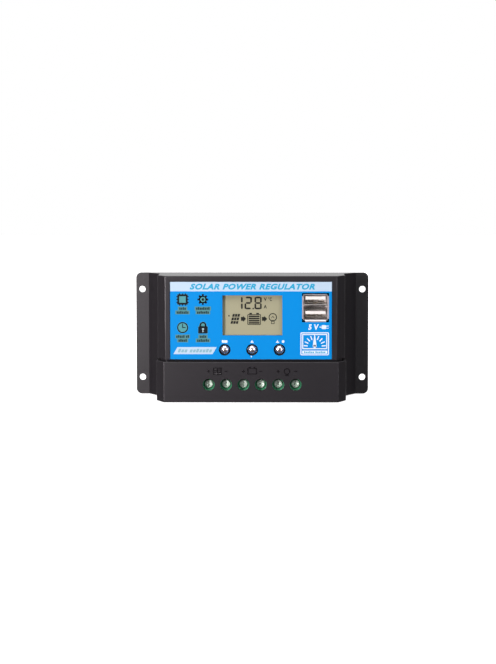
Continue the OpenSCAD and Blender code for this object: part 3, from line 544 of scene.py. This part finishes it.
def gear_outline(x, z, r, teeth=8, deep=0.9 * MM):
    """A toothed wheel: four points a tooth."""
    points = []
    for i in range(teeth):
        middle = 2 * math.pi * i / teeth
        for turn, radius in ((-0.27, r - deep), (-0.16, r), (0.16, r), (0.27, r - deep)):
            points.append((x + radius * math.cos(middle + turn), z + radius * math.sin(middle + turn)))
    return points


# How far the greyish backing shows round a symbol
SYMBOL_EDGE = 0.12 * MM


def chip_symbol(dark, backing, centre):
    """A square chip with three legs on each side."""
    side, leg_w, leg_step = 5.7 * MM, 0.6 * MM, 1.6 * MM
    edge = side + 2 * SYMBOL_EDGE
    away = side / 2 + 0.25 * MM
    prism(backing, oblong(*centre, edge, edge), *under_ink)
    frame_prism(dark, oblong(*centre, side, side), 1.05 * MM, *over_ink)
    for i in range(-1, 2):
        along = i * leg_step
        for sx, sz in ((1, 0), (-1, 0), (0, 1), (0, -1)):
            x = centre[0] + sx * away + abs(sz) * along
            z = centre[1] + sz * away + abs(sx) * along
            prism(dark, oblong(x, z, leg_w, leg_w), *over_ink)


def gear_symbol(dark, backing, centre):
    """A toothed wheel with a ring and a hub inside it."""
    outer_r = 3.0 * MM
    prism(backing, arc(*centre, outer_r * 0.75), *under_ink)
    frame_prism(dark, gear_outline(*centre, outer_r), 0.55 * MM, *over_ink)
    frame_prism(dark, arc(*centre, outer_r * 0.72), 0.75 * MM, *over_ink)
    prism(dark, arc(*centre, outer_r * 0.26, steps=12), *over_ink)


def clock_symbol(dark, backing, centre):
    """A round dial with two hands."""
    x, z = centre
    dial_r, hand_w = 3.05 * MM, 0.5 * MM
    prism(backing, arc(x, z, dial_r + SYMBOL_EDGE), *under_ink)
    frame_prism(dark, arc(x, z, dial_r, steps=32), 0.62 * MM, *over_ink)
    prism(dark, bar(centre, (x, z + 2.1 * MM), hand_w), *over_ink)
    prism(dark, bar(centre, (x + 1.7 * MM, z), hand_w), *over_ink)


def padlock_symbol(dark, pale, backing, centre):
    """A closed padlock with a pale keyhole."""
    x = centre[0]
    body_w, body_h = 5.2 * MM, 3.9 * MM
    body_z = centre[1] - 1.3 * MM
    top_z = body_z + body_h / 2 - 0.3 * MM
    bow_z = top_z + 0.9 * MM
    outer_r, inner_r = 1.9 * MM, 1.05 * MM
    edge = 2 * SYMBOL_EDGE
    prism(backing, oblong(x, body_z, body_w + edge, body_h + edge), *under_ink)
    prism(backing, arc(x, bow_z, outer_r + SYMBOL_EDGE, 0, 180), *under_ink)
    prism(backing, oblong(x, top_z, 2 * outer_r + edge, 2 * MM), *under_ink)
    prism(dark, oblong(x, body_z, body_w, body_h, 0.4 * MM), *over_ink)
    outside = [(x + outer_r, top_z)] + arc(x, bow_z, outer_r, 0, 180, 12) + [(x - outer_r, top_z)]
    inside = [(x - inner_r, top_z)] + arc(x, bow_z, inner_r, 180, 0, 12) + [(x + inner_r, top_z)]
    prism(dark, outside + inside, *over_ink)
    prism(pale, arc(x, body_z + 0.4 * MM, 0.55 * MM, steps=12), *top_ink)
    slot = bar((x, body_z + 0.3 * MM), (x, body_z - 1.1 * MM), 0.35 * MM, 0.7 * MM)
    prism(pale, slot, *top_ink)


def symbol_captions(caption, halo):
    """Two rows of blocks under each symbol, on greyish backing."""
    letter_w, line_h = 0.95 * MM, 2.15 * MM
    for (x, z), lines in zip(icon_centres(), CAPTIONS):
        for row, words in enumerate(lines):
            line_z = z - 4.95 * MM - row * line_h
            length = (sum(words) + 0.6) * letter_w
            prism(halo, oblong(x, line_z, length + 0.8 * MM, line_h), *under_ink)
            greeked_line(caption, x, line_z, words, 1.5 * MM, *over_ink)


def label_icons():
    """The four symbols with their captions: a chip, a gear, a clock and a padlock."""
    dark, pale, backing, caption, halo = (bmesh.new() for _ in range(5))
    chip, gear, clock, lock = icon_centres()
    chip_symbol(dark, backing, chip)
    gear_symbol(dark, backing, gear)
    clock_symbol(dark, backing, clock)
    padlock_symbol(dark, pale, backing, lock)
    symbol_captions(caption, halo)
    make_piece(backing, "label_symbol_halos", ink_backing, "front_label")
    make_piece(halo, "label_caption_halos", ink_halo, "front_label")
    make_piece(dark, "label_symbols", ink_black, "front_label")
    make_piece(caption, "label_captions", ink_caption, "front_label")
    make_piece(pale, "label_keyhole", ink_pale, "front_label")


def cover_symbols():
    """Polished tops on the raised symbols of the terminal cover, darker than its grained face."""
    front_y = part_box("terminal_cover")[0].y
    bm = merged_copy("terminal_cover")
    behind = [f for f in bm.faces if any(v.co.y > front_y + 0.01 * MM for v in f.verts)]
    bmesh.ops.delete(bm, geom=behind, context="FACES")
    extrude(bm, bm.faces[:], (0, -INK_T, 0))
    make_piece(bm, "terminal_cover_symbols", polished_black, "terminal_cover")


def label_badge():
    """The slanting pale badge at the lower left, with a row of blocks on it."""
    centre = (label_left + 13.6 * MM, label_bottom + 4.75 * MM)
    badge = bmesh.new()
    prism(badge, oblong(*centre, 21.6 * MM, 3.9 * MM, lean=0.55), *under_ink)
    make_piece(badge, "label_badge", ink_strip, "front_label")
    marks = bmesh.new()
    greeked_line(marks, centre[0], centre[1], (3, 7), 2.0 * MM, *over_ink, lean=0.35, step=1.78 * MM)
    make_piece(marks, "label_badge_marks", ink_badge, "front_label")


buttons = {side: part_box("button_" + side) for side in ("left", "middle", "right")}


def middle_of(node):
    low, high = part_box(node)
    return (low + high) / 2


def button_marks():
    """White marks above the buttons: a bar, a triangle, a triangle with a dot, and one small dot."""
    bm = bmesh.new()
    centres = {side: middle_of("button_" + side) for side in buttons}
    up = 4.6 * MM
    left, centre, right = (centres[side] for side in ("left", "middle", "right"))
    prism(bm, oblong(left.x, left.z + up, 3.1 * MM, 1.4 * MM, 0.3 * MM), *over_ink)
    for x in (centre.x, right.x - 1.1 * MM):
        prism(bm, [(x - 0.95 * MM, centre.z + up - 0.7 * MM), (x + 0.95 * MM, centre.z + up - 0.7 * MM),
                   (x, centre.z + up + 0.8 * MM)], *over_ink)
    prism(bm, arc(right.x + 2.0 * MM, right.z + up, 0.75 * MM, steps=14), *over_ink)
    prism(bm, arc(centre.x - 0.4 * MM, centre.z - 3.8 * MM, 0.4 * MM, steps=10), *over_ink)
    make_piece(bm, "label_button_marks", ink_white, "front_label")


socket_low, socket_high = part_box("usb_shell")


def socket_marks():
    """Below the socket: its voltage and a simple plug."""
    middle_x = (socket_low.x + socket_high.x) / 2 + 1.2 * MM
    z = socket_low.z - 2.8 * MM
    half = 1.55 * MM
    text = letters("5 V", middle_x - 5.2 * MM, middle_x + 0.6 * MM, z - half, z + half, *over_ink,
                   lean=0.12, weight=0.045)
    plug = bmesh.new()
    prism(plug, oblong(middle_x + 3.4 * MM, z, 2.6 * MM, 2.2 * MM, 0.6 * MM), *over_ink)
    for sz in (-1, 1):
        prism(plug, oblong(middle_x + 5.3 * MM, z + sz * 0.6 * MM, 1.4 * MM, 0.4 * MM), *over_ink)
    prism(plug, oblong(middle_x + 1.6 * MM, z, 1.2 * MM, 0.5 * MM), *over_ink)
    make_piece(joined([text, plug]), "label_socket_marks", ink_white, "front_label")


def meter_mark():
    """A pointer meter in a double frame, with a caption bar under it."""
    bm = bmesh.new()
    left, right = label_right - 17.2 * MM, label_right - 1.5 * MM
    low, high = label_bottom + 2.2 * MM, label_bottom + 14.9 * MM
    x, line = (left + right) / 2, 0.55 * MM
    frame_prism(bm, oblong(x, (low + high) / 2, right - left, high - low, 0.7 * MM), line, *over_ink)
    inner_low = low + 3.4 * MM
    inner_high = high - 0.9 * MM
    inner_w, inner_h = right - left - 1.9 * MM, inner_high - inner_low
    inner = oblong(x, (inner_low + inner_high) / 2, inner_w, inner_h, 0.4 * MM)
    frame_prism(bm, inner, line, *over_ink)
    pivot = (x, inner_low + 1.5 * MM)
    tick_deg, inner_r, outer_r = 21.5, 3.9 * MM, 6.1 * MM
    for i in (-4, -3, -2, -1, 1, 2, 3, 4):
        turn = math.radians(90 - i * tick_deg)
        ends = [(pivot[0] + r * math.cos(turn), pivot[1] + r * math.sin(turn)) for r in (inner_r, outer_r)]
        prism(bm, bar(*ends, 0.6 * MM), *over_ink)
    prism(bm, bar(pivot, (x, inner_high - 0.4 * MM), 2.2 * MM, 0.3 * MM), *over_ink)
    prism(bm, arc(*pivot, 0.85 * MM, steps=16), *over_ink)
    caption_z = low + 1.75 * MM
    caption_h = 1.7 * MM
    prism(bm, oblong(x, caption_z, right - left - 1.9 * MM, caption_h), *over_ink)
    make_piece(bm, "label_meter_mark", ink_white, "front_label")
    marks = bmesh.new()
    greeked_line(marks, x, caption_z, (6, 6), 0.95 * MM, *top_ink)
    make_piece(marks, "label_meter_caption", ink_title, "front_label")


title_strip()
title()
label_icons()
label_badge()
button_marks()
socket_marks()
meter_mark()
cover_symbols()

# ---- Display ----

film_low, film_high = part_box("lcd_polariser")
film_d = -film_low.y
window_edge = 1.0 * MM
window_left, window_high = film_low.x + window_edge, film_high.z - window_edge
segment_depths = (film_d, film_d + INK_T)

# Which of the seven bars each digit lights, in this order:
# top, upper left, upper right, middle, lower left, lower right, bottom
LIT = {"1": "0010010", "2": "1011101", "8": "1111111"}


def seven_bars(bm, digit, left, low, w, h, line):
    """A seven-bar digit with pointed bars and thin gaps between them."""
    gap = 0.12 * MM
    mid = low + h / 2
    right = left + w
    top = low + h
    rows = {"0": top - line / 2, "3": mid, "6": low + line / 2}
    columns = {"1": (left + line / 2, mid, top), "2": (right - line / 2, mid, top),
               "4": (left + line / 2, low, mid), "5": (right - line / 2, low, mid)}
    for key, z in rows.items():
        if LIT[digit][int(key)] == "1":
            a, b = left + line / 2 + gap, right - line / 2 - gap
            prism(bm, [(a, z), (a + line / 2, z - line / 2), (b - line / 2, z - line / 2), (b, z),
                       (b - line / 2, z + line / 2), (a + line / 2, z + line / 2)], *segment_depths)
    for key, (x, z0, z1) in columns.items():
        if LIT[digit][int(key)] == "1":
            a, b = z0 + gap, z1 - gap
            prism(bm, [(x, a), (x + line / 2, a + line / 2), (x + line / 2, b - line / 2), (x, b),
                       (x - line / 2, b - line / 2), (x - line / 2, a + line / 2)], *segment_depths)


def arrow(bm, left, right, z, high):
    """A block arrow that points right."""
    neck = left + (right - left) * 0.45
    shaft = high * 0.62
    prism(bm, [(left, z - shaft / 2), (neck, z - shaft / 2), (neck, z - high / 2), (right, z),
               (neck, z + high / 2), (neck, z + shaft / 2), (left, z + shaft / 2)], *segment_depths)


def panel_symbol(bm, x, z):
    """A leaning panel of nine cells."""
    for row in range(3):
        for column in range(3):
            cell_x = x + (column - 1) * 1.45 * MM + (1 - row) * 0.45 * MM
            cell_z = z + (1 - row) * 1.95 * MM
            prism(bm, oblong(cell_x, cell_z, 1.2 * MM, 1.55 * MM, lean=0.25), *segment_depths)


def battery_symbol(bm, x, z):
    """A battery with four charge bars and two posts."""
    frame_prism(bm, oblong(x, z - 0.35 * MM, 7.5 * MM, 5.9 * MM, 0.5 * MM), 0.42 * MM, *segment_depths)
    for i in range(4):
        prism(bm, oblong(x, z + (1.4 - i * 1.2) * MM, 6.0 * MM, 0.88 * MM), *segment_depths)
    for sx in (-1, 1):
        prism(bm, oblong(x + sx * 1.9 * MM, z + 2.95 * MM, 1.5 * MM, 0.8 * MM), *segment_depths)


def lamp_symbol(bm, x, z):
    """A bulb with its filament and base."""
    frame_prism(bm, arc(x, z, 2.3 * MM, -60, 240, 20), 0.48 * MM, *segment_depths)
    frame_prism(bm, oblong(x, z - 2.9 * MM, 1.9 * MM, 1.6 * MM), 0.35 * MM, *segment_depths)
    for sx in (-1, 1):
        filament = bar((x + sx * 0.8 * MM, z - 0.5 * MM), (x, z + 0.6 * MM), 0.3 * MM)
        prism(bm, filament, *segment_depths)


# The lit units: each letter, its left and right from the window's left, and its top from the window's top
UNITS = (("V", 22.7, 24.4, 1.3), ("C", 26.0, 27.2, 1.3), ("A", 22.7, 24.4, 5.4))


def unit_letters(text, left, right, top):
    high = window_high - top * MM
    return letters(text, window_left + left * MM, window_left + right * MM, high - 2.0 * MM, high,
                   *segment_depths, weight=0.035)


def display_reading():
    """The lit segments: a voltage, its units, and panel, battery and lamp joined by arrows."""
    bm = bmesh.new()
    line = 0.95 * MM
    digit_h = 7.0 * MM
    digit_low = window_high - 7.9 * MM
    seven_bars(bm, "1", window_left + 7.1 * MM, digit_low, 4.0 * MM, digit_h, line)
    seven_bars(bm, "2", window_left + 12.1 * MM, digit_low, 4.1 * MM, digit_h, line)
    prism(bm, oblong(window_left + 16.9 * MM, digit_low + 0.4 * MM, 0.8 * MM, 0.8 * MM), *segment_depths)
    seven_bars(bm, "8", window_left + 17.6 * MM, digit_low, 4.0 * MM, digit_h, line)
    row_z = window_high - 13.2 * MM
    arrow_h = 3.4 * MM
    panel_symbol(bm, window_left + 7.0 * MM, row_z)
    prism(bm, arc(window_left + 3.5 * MM, window_high - 11.5 * MM, 0.45 * MM, steps=10), *segment_depths)
    arrow(bm, window_left + 10.1 * MM, window_left + 12.9 * MM, row_z, arrow_h)
    arrow(bm, window_left + 21.7 * MM, window_left + 24.6 * MM, row_z, arrow_h)
    battery_symbol(bm, window_left + 17.4 * MM, row_z)
    lamp_symbol(bm, window_left + 27.7 * MM, row_z + 0.9 * MM)
    units = [unit_letters(*unit) for unit in UNITS]
    degree = arc(window_left + 25.5 * MM, window_high - 1.65 * MM, 0.42 * MM, steps=10)
    frame_prism(bm, degree, 0.14 * MM, *segment_depths)
    make_piece(joined([bm] + units), "display_reading", segments, "lcd_polariser")


display_reading()

# ---- Buttons and screws ----

def turned_piece(name, material, axis, profile, like, steps=56):
    """Spins a profile of (radius, depth) points about an axis that runs out from the wall."""
    bm = bmesh.new()
    points = [bm.verts.new((axis.x + r, -d, axis.z)) for r, d in profile]
    edges = [bm.edges.new(pair) for pair in zip(points, points[1:])]
    bmesh.ops.spin(bm, geom=points + edges, cent=(axis.x, 0, axis.z), axis=(0, 1, 0),
                   angle=2 * math.pi, steps=steps, use_merge=True)
    return make_piece(bm, name, material, like, [like])


def button_cap(side):
    """A plated cap, domed with a rolled rim, pressed on a black carrier with a flange and a stem."""
    low, high = buttons[side]
    cap_r, stem_r, flange_r = 2.5 * MM, 1.5 * MM, (high.x - low.x) / 2
    top_d, end_d = -low.y, -high.y
    flange_d, flange_t = top_d - 3.1 * MM, 0.8 * MM
    crown, rim = 0.95 * MM, 0.25 * MM
    dome_edge = cap_r - rim
    dome_r = (dome_edge ** 2 + crown ** 2) / (2 * crown)
    sweep = math.asin(dome_edge / dome_r)
    dome = [(dome_r * math.sin(sweep * i / 10), top_d - dome_r + dome_r * math.cos(sweep * i / 10))
            for i in range(11)]
    roll = [(dome_edge + rim * math.sin(t), top_d - crown - rim + rim * math.cos(t))
            for t in (math.radians(a) for a in (30, 60, 90))]
    skirt_d = flange_d + flange_t
    skirt = [(cap_r, skirt_d), (0, skirt_d)]
    broken = 0.15 * MM
    carrier = [(0, skirt_d), (flange_r - broken, skirt_d), (flange_r, skirt_d - broken),
               (flange_r, flange_d), (stem_r, flange_d), (stem_r, end_d), (0, end_d)]
    node = "button_" + side
    # The cap's chrome carries painted light and a painted pink reflection
    turned_piece(node + "_cap", chrome_painted_light, middle_of(node), dome + roll + skirt, node)
    turned_piece(node + "_carrier", plastic_header, middle_of(node), carrier, node)


for side in buttons:
    button_cap(side)


def terminal_screw(number):
    """A cheese-head screw with its rim rounded over and its cross recess left crisp."""
    node = "terminal_screw_%d" % number
    low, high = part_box(node)
    axis = middle_of(node)
    head_r = (high.x - low.x) / 2
    bm = merged_copy(node)
    rim = [e for e in bm.edges
           if all(abs(v.co.y - low.y) < 0.01 * MM and
                  math.hypot(v.co.x - axis.x, v.co.z - axis.z) > head_r * 0.97 for v in e.verts)]
    bevel(bm, rim, 0.45 * MM, 3)
    # The screw's colour carries painted light and a painted green reflection
    make_piece(bm, node + "_turned", screw_zinc_painted_light, node, [node])


for number in range(1, 7):
    terminal_screw(number)

# ---- Double charging socket ----

METAL_T = 0.3 * MM
socket_back_d, socket_front_d = -socket_high.y, -socket_low.y
# How far the lips at its mouth reach outwards: at the top and sides, and below
flare, low_flare = 0.7 * MM, 0.9 * MM
tube_left, tube_right = socket_low.x + flare, socket_high.x - flare
tube_low, tube_high = socket_low.z + low_flare, socket_high.z - flare
# How far behind its front the lips start
lip_l = 0.5 * MM


def socket_shell():
    """Folded sheet tube with a closed back, and three lips turned out at its mouth."""
    bm = bmesh.new()
    x, z = (tube_left + tube_right) / 2, (tube_low + tube_high) / 2
    w, h = tube_right - tube_left, tube_high - tube_low
    corner_r, cut_back, let_in = 0.6 * MM, 0.9 * MM, 0.02 * MM
    # The back is let into the wall of the tube
    back = oblong(x, z, w - METAL_T, h - METAL_T, corner_r)
    prism(bm, back, socket_back_d + let_in, socket_back_d + METAL_T)
    frame_prism(bm, oblong(x, z, w, h, corner_r), METAL_T, socket_back_d, socket_front_d - lip_l)
    for axis, sign, start, reach in (("x", -1, tube_left, flare), ("x", 1, tube_right, flare),
                                     ("z", -1, tube_low, low_flare)):
        half = (h if axis == "x" else w) / 2 - cut_back
        ends = (z - half, z + half) if axis == "x" else (x - half, x + half)
        inside = start - sign * METAL_T
        root_d = socket_front_d - lip_l
        tip = start + sign * reach
        section = [(inside, root_d - METAL_T), (start, root_d - METAL_T), (start, root_d),
                   (start + sign * reach * 0.5, socket_front_d - METAL_T), (tip, socket_front_d - METAL_T),
                   (tip, socket_front_d), (start + sign * reach * 0.3, socket_front_d), (inside, root_d)]
        if axis == "x":
            lip = [bm.verts.new((a, -d, ends[0])) for a, d in section]
            move = (0, 0, ends[1] - ends[0])
        else:
            lip = [bm.verts.new((ends[0], -d, a)) for a, d in section]
            move = (ends[1] - ends[0], 0, 0)
        extrude(bm, [bm.faces.new(lip)], move)
    # The shell's nickel carries painted light and a painted pink reflection
    make_piece(bm, "socket_shell_folded", socket_nickel_painted_light, "usb_shell", ["usb_shell"])


divider_low, divider_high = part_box("usb_divider")
port_floors = [tube_low + 0.9 * MM, divider_high.z]


def extruded_across(bm, section, x0, x1):
    """A section of (depth, up) points drawn out from x0 to x1."""
    face = bm.faces.new([bm.verts.new((x0, -d, z)) for d, z in section])
    extrude(bm, [face], (x1 - x0, 0, 0))


def port_springs():
    """In each port, two bent springs on the floor that grip the plug's shell."""
    bm = bmesh.new()
    x = (tube_left + tube_right) / 2
    spring_w, thin = 3.4 * MM, 0.22 * MM
    for floor in port_floors:
        bends = ((7, 0.12), (2.6, 1.35), (1.2, 1.2), (0.5, 0.75))
        path = [(socket_front_d - back * MM, floor + up * MM) for back, up in bends]
        section = path + [(d, z + thin) for d, z in reversed(path)]
        for sx in (-1, 1):
            middle = x + sx * 3.1 * MM
            extruded_across(bm, section, middle - spring_w / 2, middle + spring_w / 2)
    make_piece(bm, "socket_springs", nickel, "usb_shell")


def port_floor_plates():
    """The folded floor of the lower port, from the springs to its lip."""
    bm = bmesh.new()
    floor = port_floors[0]
    back_d, front_d = socket_front_d - 8.5 * MM, socket_front_d - 1.4 * MM
    section = [(back_d, floor - METAL_T), (front_d, floor - METAL_T), (front_d, floor), (back_d, floor)]
    extruded_across(bm, section, tube_left + METAL_T * 1.5, tube_right - METAL_T * 1.5)
    make_piece(bm, "socket_port_floor", nickel, "usb_shell")


def socket_divider():
    """The folded sheet between the ports: two shelves with a deep open gap between their edges."""
    bm = bmesh.new()
    low, high = divider_low, divider_high
    back_d, front_d = -high.y, -low.y
    web_d, lower_d, shelf_d = back_d + METAL_T, front_d - 0.3 * MM, front_d - 0.9 * MM
    lip_z = high.z - 0.95 * MM
    rounding = 0.2 * MM
    section = [(back_d, low.z), (lower_d, low.z), (lower_d, low.z + METAL_T), (web_d, low.z + METAL_T),
               (web_d, high.z - METAL_T), (shelf_d, high.z - METAL_T), (front_d - 0.35 * MM, lip_z),
               (front_d, lip_z), (front_d, high.z - rounding), (front_d - rounding, high.z),
               (back_d, high.z)]
    extruded_across(bm, section, low.x, high.x)
    make_piece(bm, "socket_divider_folded", nickel, "usb_divider", ["usb_divider"])


def socket_contacts():
    """Four sprung contacts under each tongue, bowed down towards the plug."""
    bm = bmesh.new()
    low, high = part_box("usb_contacts")
    x = (low.x + high.x) / 2
    pitch, width, thin = 2.4 * MM, 1.1 * MM, 0.15 * MM
    front_d, back_d = -low.y, -high.y
    gap = divider_high.z - port_floors[0]
    for rise in (0, gap):
        z = low.z + rise + 0.2 * MM
        path = [(back_d, z - thin), (front_d - 4.5 * MM, z - thin), (front_d - 2.5 * MM, z - 0.55 * MM),
                (front_d - 0.6 * MM, z - 0.25 * MM), (front_d, z - thin)]
        section = path + [(d, zz + thin) for d, zz in reversed(path)]
        for i in range(4):
            middle = x + (i - 1.5) * pitch
            extruded_across(bm, section, middle - width / 2, middle + width / 2)
    make_piece(bm, "socket_contacts_sprung", gold, "usb_contacts", ["usb_contacts"])


def eased(node, name, material, width):
    """A copy of a simple moulding or folding with all its sharp edges just broken."""
    bm = merged_copy(node)
    sharp = [e for e in bm.edges if len(e.link_faces) == 2
             and e.calc_face_angle_signed(0) > math.radians(50) and e.calc_length() > 3 * width]
    bmesh.ops.bevel(bm, geom=sharp, offset=width, offset_type="OFFSET", affect="EDGES", segments=2,
                    profile=0.5, material=-1, clamp_overlap=True)
    return make_piece(bm, name, material, node, [node])


socket_shell()
port_springs()
port_floor_plates()
socket_contacts()
eased("usb_insulator", "socket_insulator_moulded", plastic_white, 0.12 * MM)
socket_divider()

finish_cad_nodes()

# ---- Camera, light and floor ----

def aim(holder, place, target):
    holder.location = place
    holder.rotation_euler = (Vector(target) - Vector(place)).to_track_quat("-Z", "Y").to_euler()


def make_camera():
    data = bpy.data.cameras.new("camera")
    data.lens = 71.3
    data.sensor_width = 36
    data.clip_start, data.clip_end = 0.01, 50
    camera = bpy.data.objects.new("camera", data)
    scene.collection.objects.link(camera)
    # Part of the framing is a shift, so that upright and level edges stay nearly parallel
    data.shift_x, data.shift_y = -0.0392, -0.1004
    aim(camera, (0.017, -0.756, 0.0788), (0.0125, -0.002, 0.0391))
    scene.camera = camera


def soft_light(name, place, target, size, power, colour="#ffffff"):
    data = bpy.data.lights.new(name, "AREA")
    data.shape = "RECTANGLE"
    data.size, data.size_y = size
    data.energy = power
    data.color = linear(colour)[:3]
    lamp = bpy.data.objects.new(name, data)
    scene.collection.objects.link(lamp)
    aim(lamp, place, target)


# Strength of the dim side of the studio, from left to right
DIM_LEFT = 0.12
DIM_RIGHT = 0.1
# Strength of its white side, as the case reflects it
WHITE = 1.25


def studio_surroundings():
    """A studio that is white behind the case and overhead, and dim at the sides and behind the camera."""
    world = bpy.data.worlds.new("studio")
    scene.world = world
    world.use_nodes = True
    tree = world.node_tree
    background = tree.nodes["Background"]
    way = add(tree, "ShaderNodeTexCoord").outputs["Generated"]
    split = add(tree, "ShaderNodeSeparateXYZ", inputs={"Vector": way})

    def ramp(axis, start, end, low, high):
        made = add(tree, "ShaderNodeMapRange", {"interpolation_type": "SMOOTHSTEP"},
                   {"Value": split.outputs[axis], "From Min": start, "From Max": end,
                    "To Min": low, "To Max": high})
        return made.outputs["Result"]

    across = ramp("X", -0.5, 0.4, DIM_LEFT, DIM_RIGHT)
    white = add(tree, "ShaderNodeMath", {"operation": "MAXIMUM"})
    tree.links.new(ramp("Y", 0.72, 0.93, 0, 1), white.inputs[0])
    tree.links.new(ramp("Z", 0.35, 0.75, 0, 1), white.inputs[1])
    strength = add(tree, "ShaderNodeMix", {"data_type": "FLOAT"},
                   {"Factor": white.outputs["Value"], "A": across, "B": WHITE})
    tint = add(tree, "ShaderNodeMix", {"data_type": "RGBA"},
               {"Factor": white.outputs["Value"], "A": (1, 0.92, 0.98, 1), "B": (1, 1, 1, 1)})
    # The backdrop itself is plain white wherever it is seen
    seen = add(tree, "ShaderNodeLightPath").outputs["Is Camera Ray"]
    backdrop = add(tree, "ShaderNodeMix", {"data_type": "RGBA"},
                   {"Factor": seen, "A": tint.outputs["Result"], "B": (1, 1, 1, 1)})
    level = add(tree, "ShaderNodeMix", {"data_type": "FLOAT"},
                {"Factor": seen, "A": strength.outputs["Result"], "B": 1.0})
    tree.links.new(backdrop.outputs["Result"], background.inputs["Color"])
    tree.links.new(level.outputs["Result"], background.inputs["Strength"])


def floor():
    """A plain white table top under the case, bright enough to carry no shadow edge."""
    bm = bmesh.new()
    bmesh.ops.create_grid(bm, x_segments=1, y_segments=1, size=3)
    bmesh.ops.translate(bm, verts=bm.verts, vec=(0, 0, cad_box[0].z - 0.2 * MM))
    mesh = bpy.data.meshes.new("table_top")
    bm.to_mesh(mesh)
    bm.free()
    # White laminate: even, matt
    material = surface("white_laminate", "#f4f4f4", 0.6, tone=0.01, tone_mm=200, grain_mm=2,
                       grain_depth_mm=0.002)
    shader = material.node_tree.nodes["Principled BSDF"]
    shader.inputs["Emission Color"].default_value = (1, 1, 1, 1)
    shader.inputs["Emission Strength"].default_value = 0.75
    mesh.materials.append(material)
    table = bpy.data.objects.new("table_top", mesh)
    scene.collection.objects.link(table)
    # Its bounce is left out, so the dim sides of the studio keep the case's bevels dark
    table.visible_diffuse = False
    table.visible_glossy = False


CASE_MIDDLE = (0, -0.02, 0)

make_camera()
studio_surroundings()
floor()
soft_light("high_key", (-0.10, -0.42, 0.50), CASE_MIDDLE, (0.5, 0.3), 1.3, "#ffffff")
soft_light("left_panel", (-0.38, -0.578, 0.02), CASE_MIDDLE, (0.14, 0.24), 5.6, "#fff6fb")
soft_light("right_panel", (0.42, -0.50, 0.02), CASE_MIDDLE, (0.14, 0.24), 1.1, "#f8f8ff")
scene.view_settings.view_transform = "Standard"
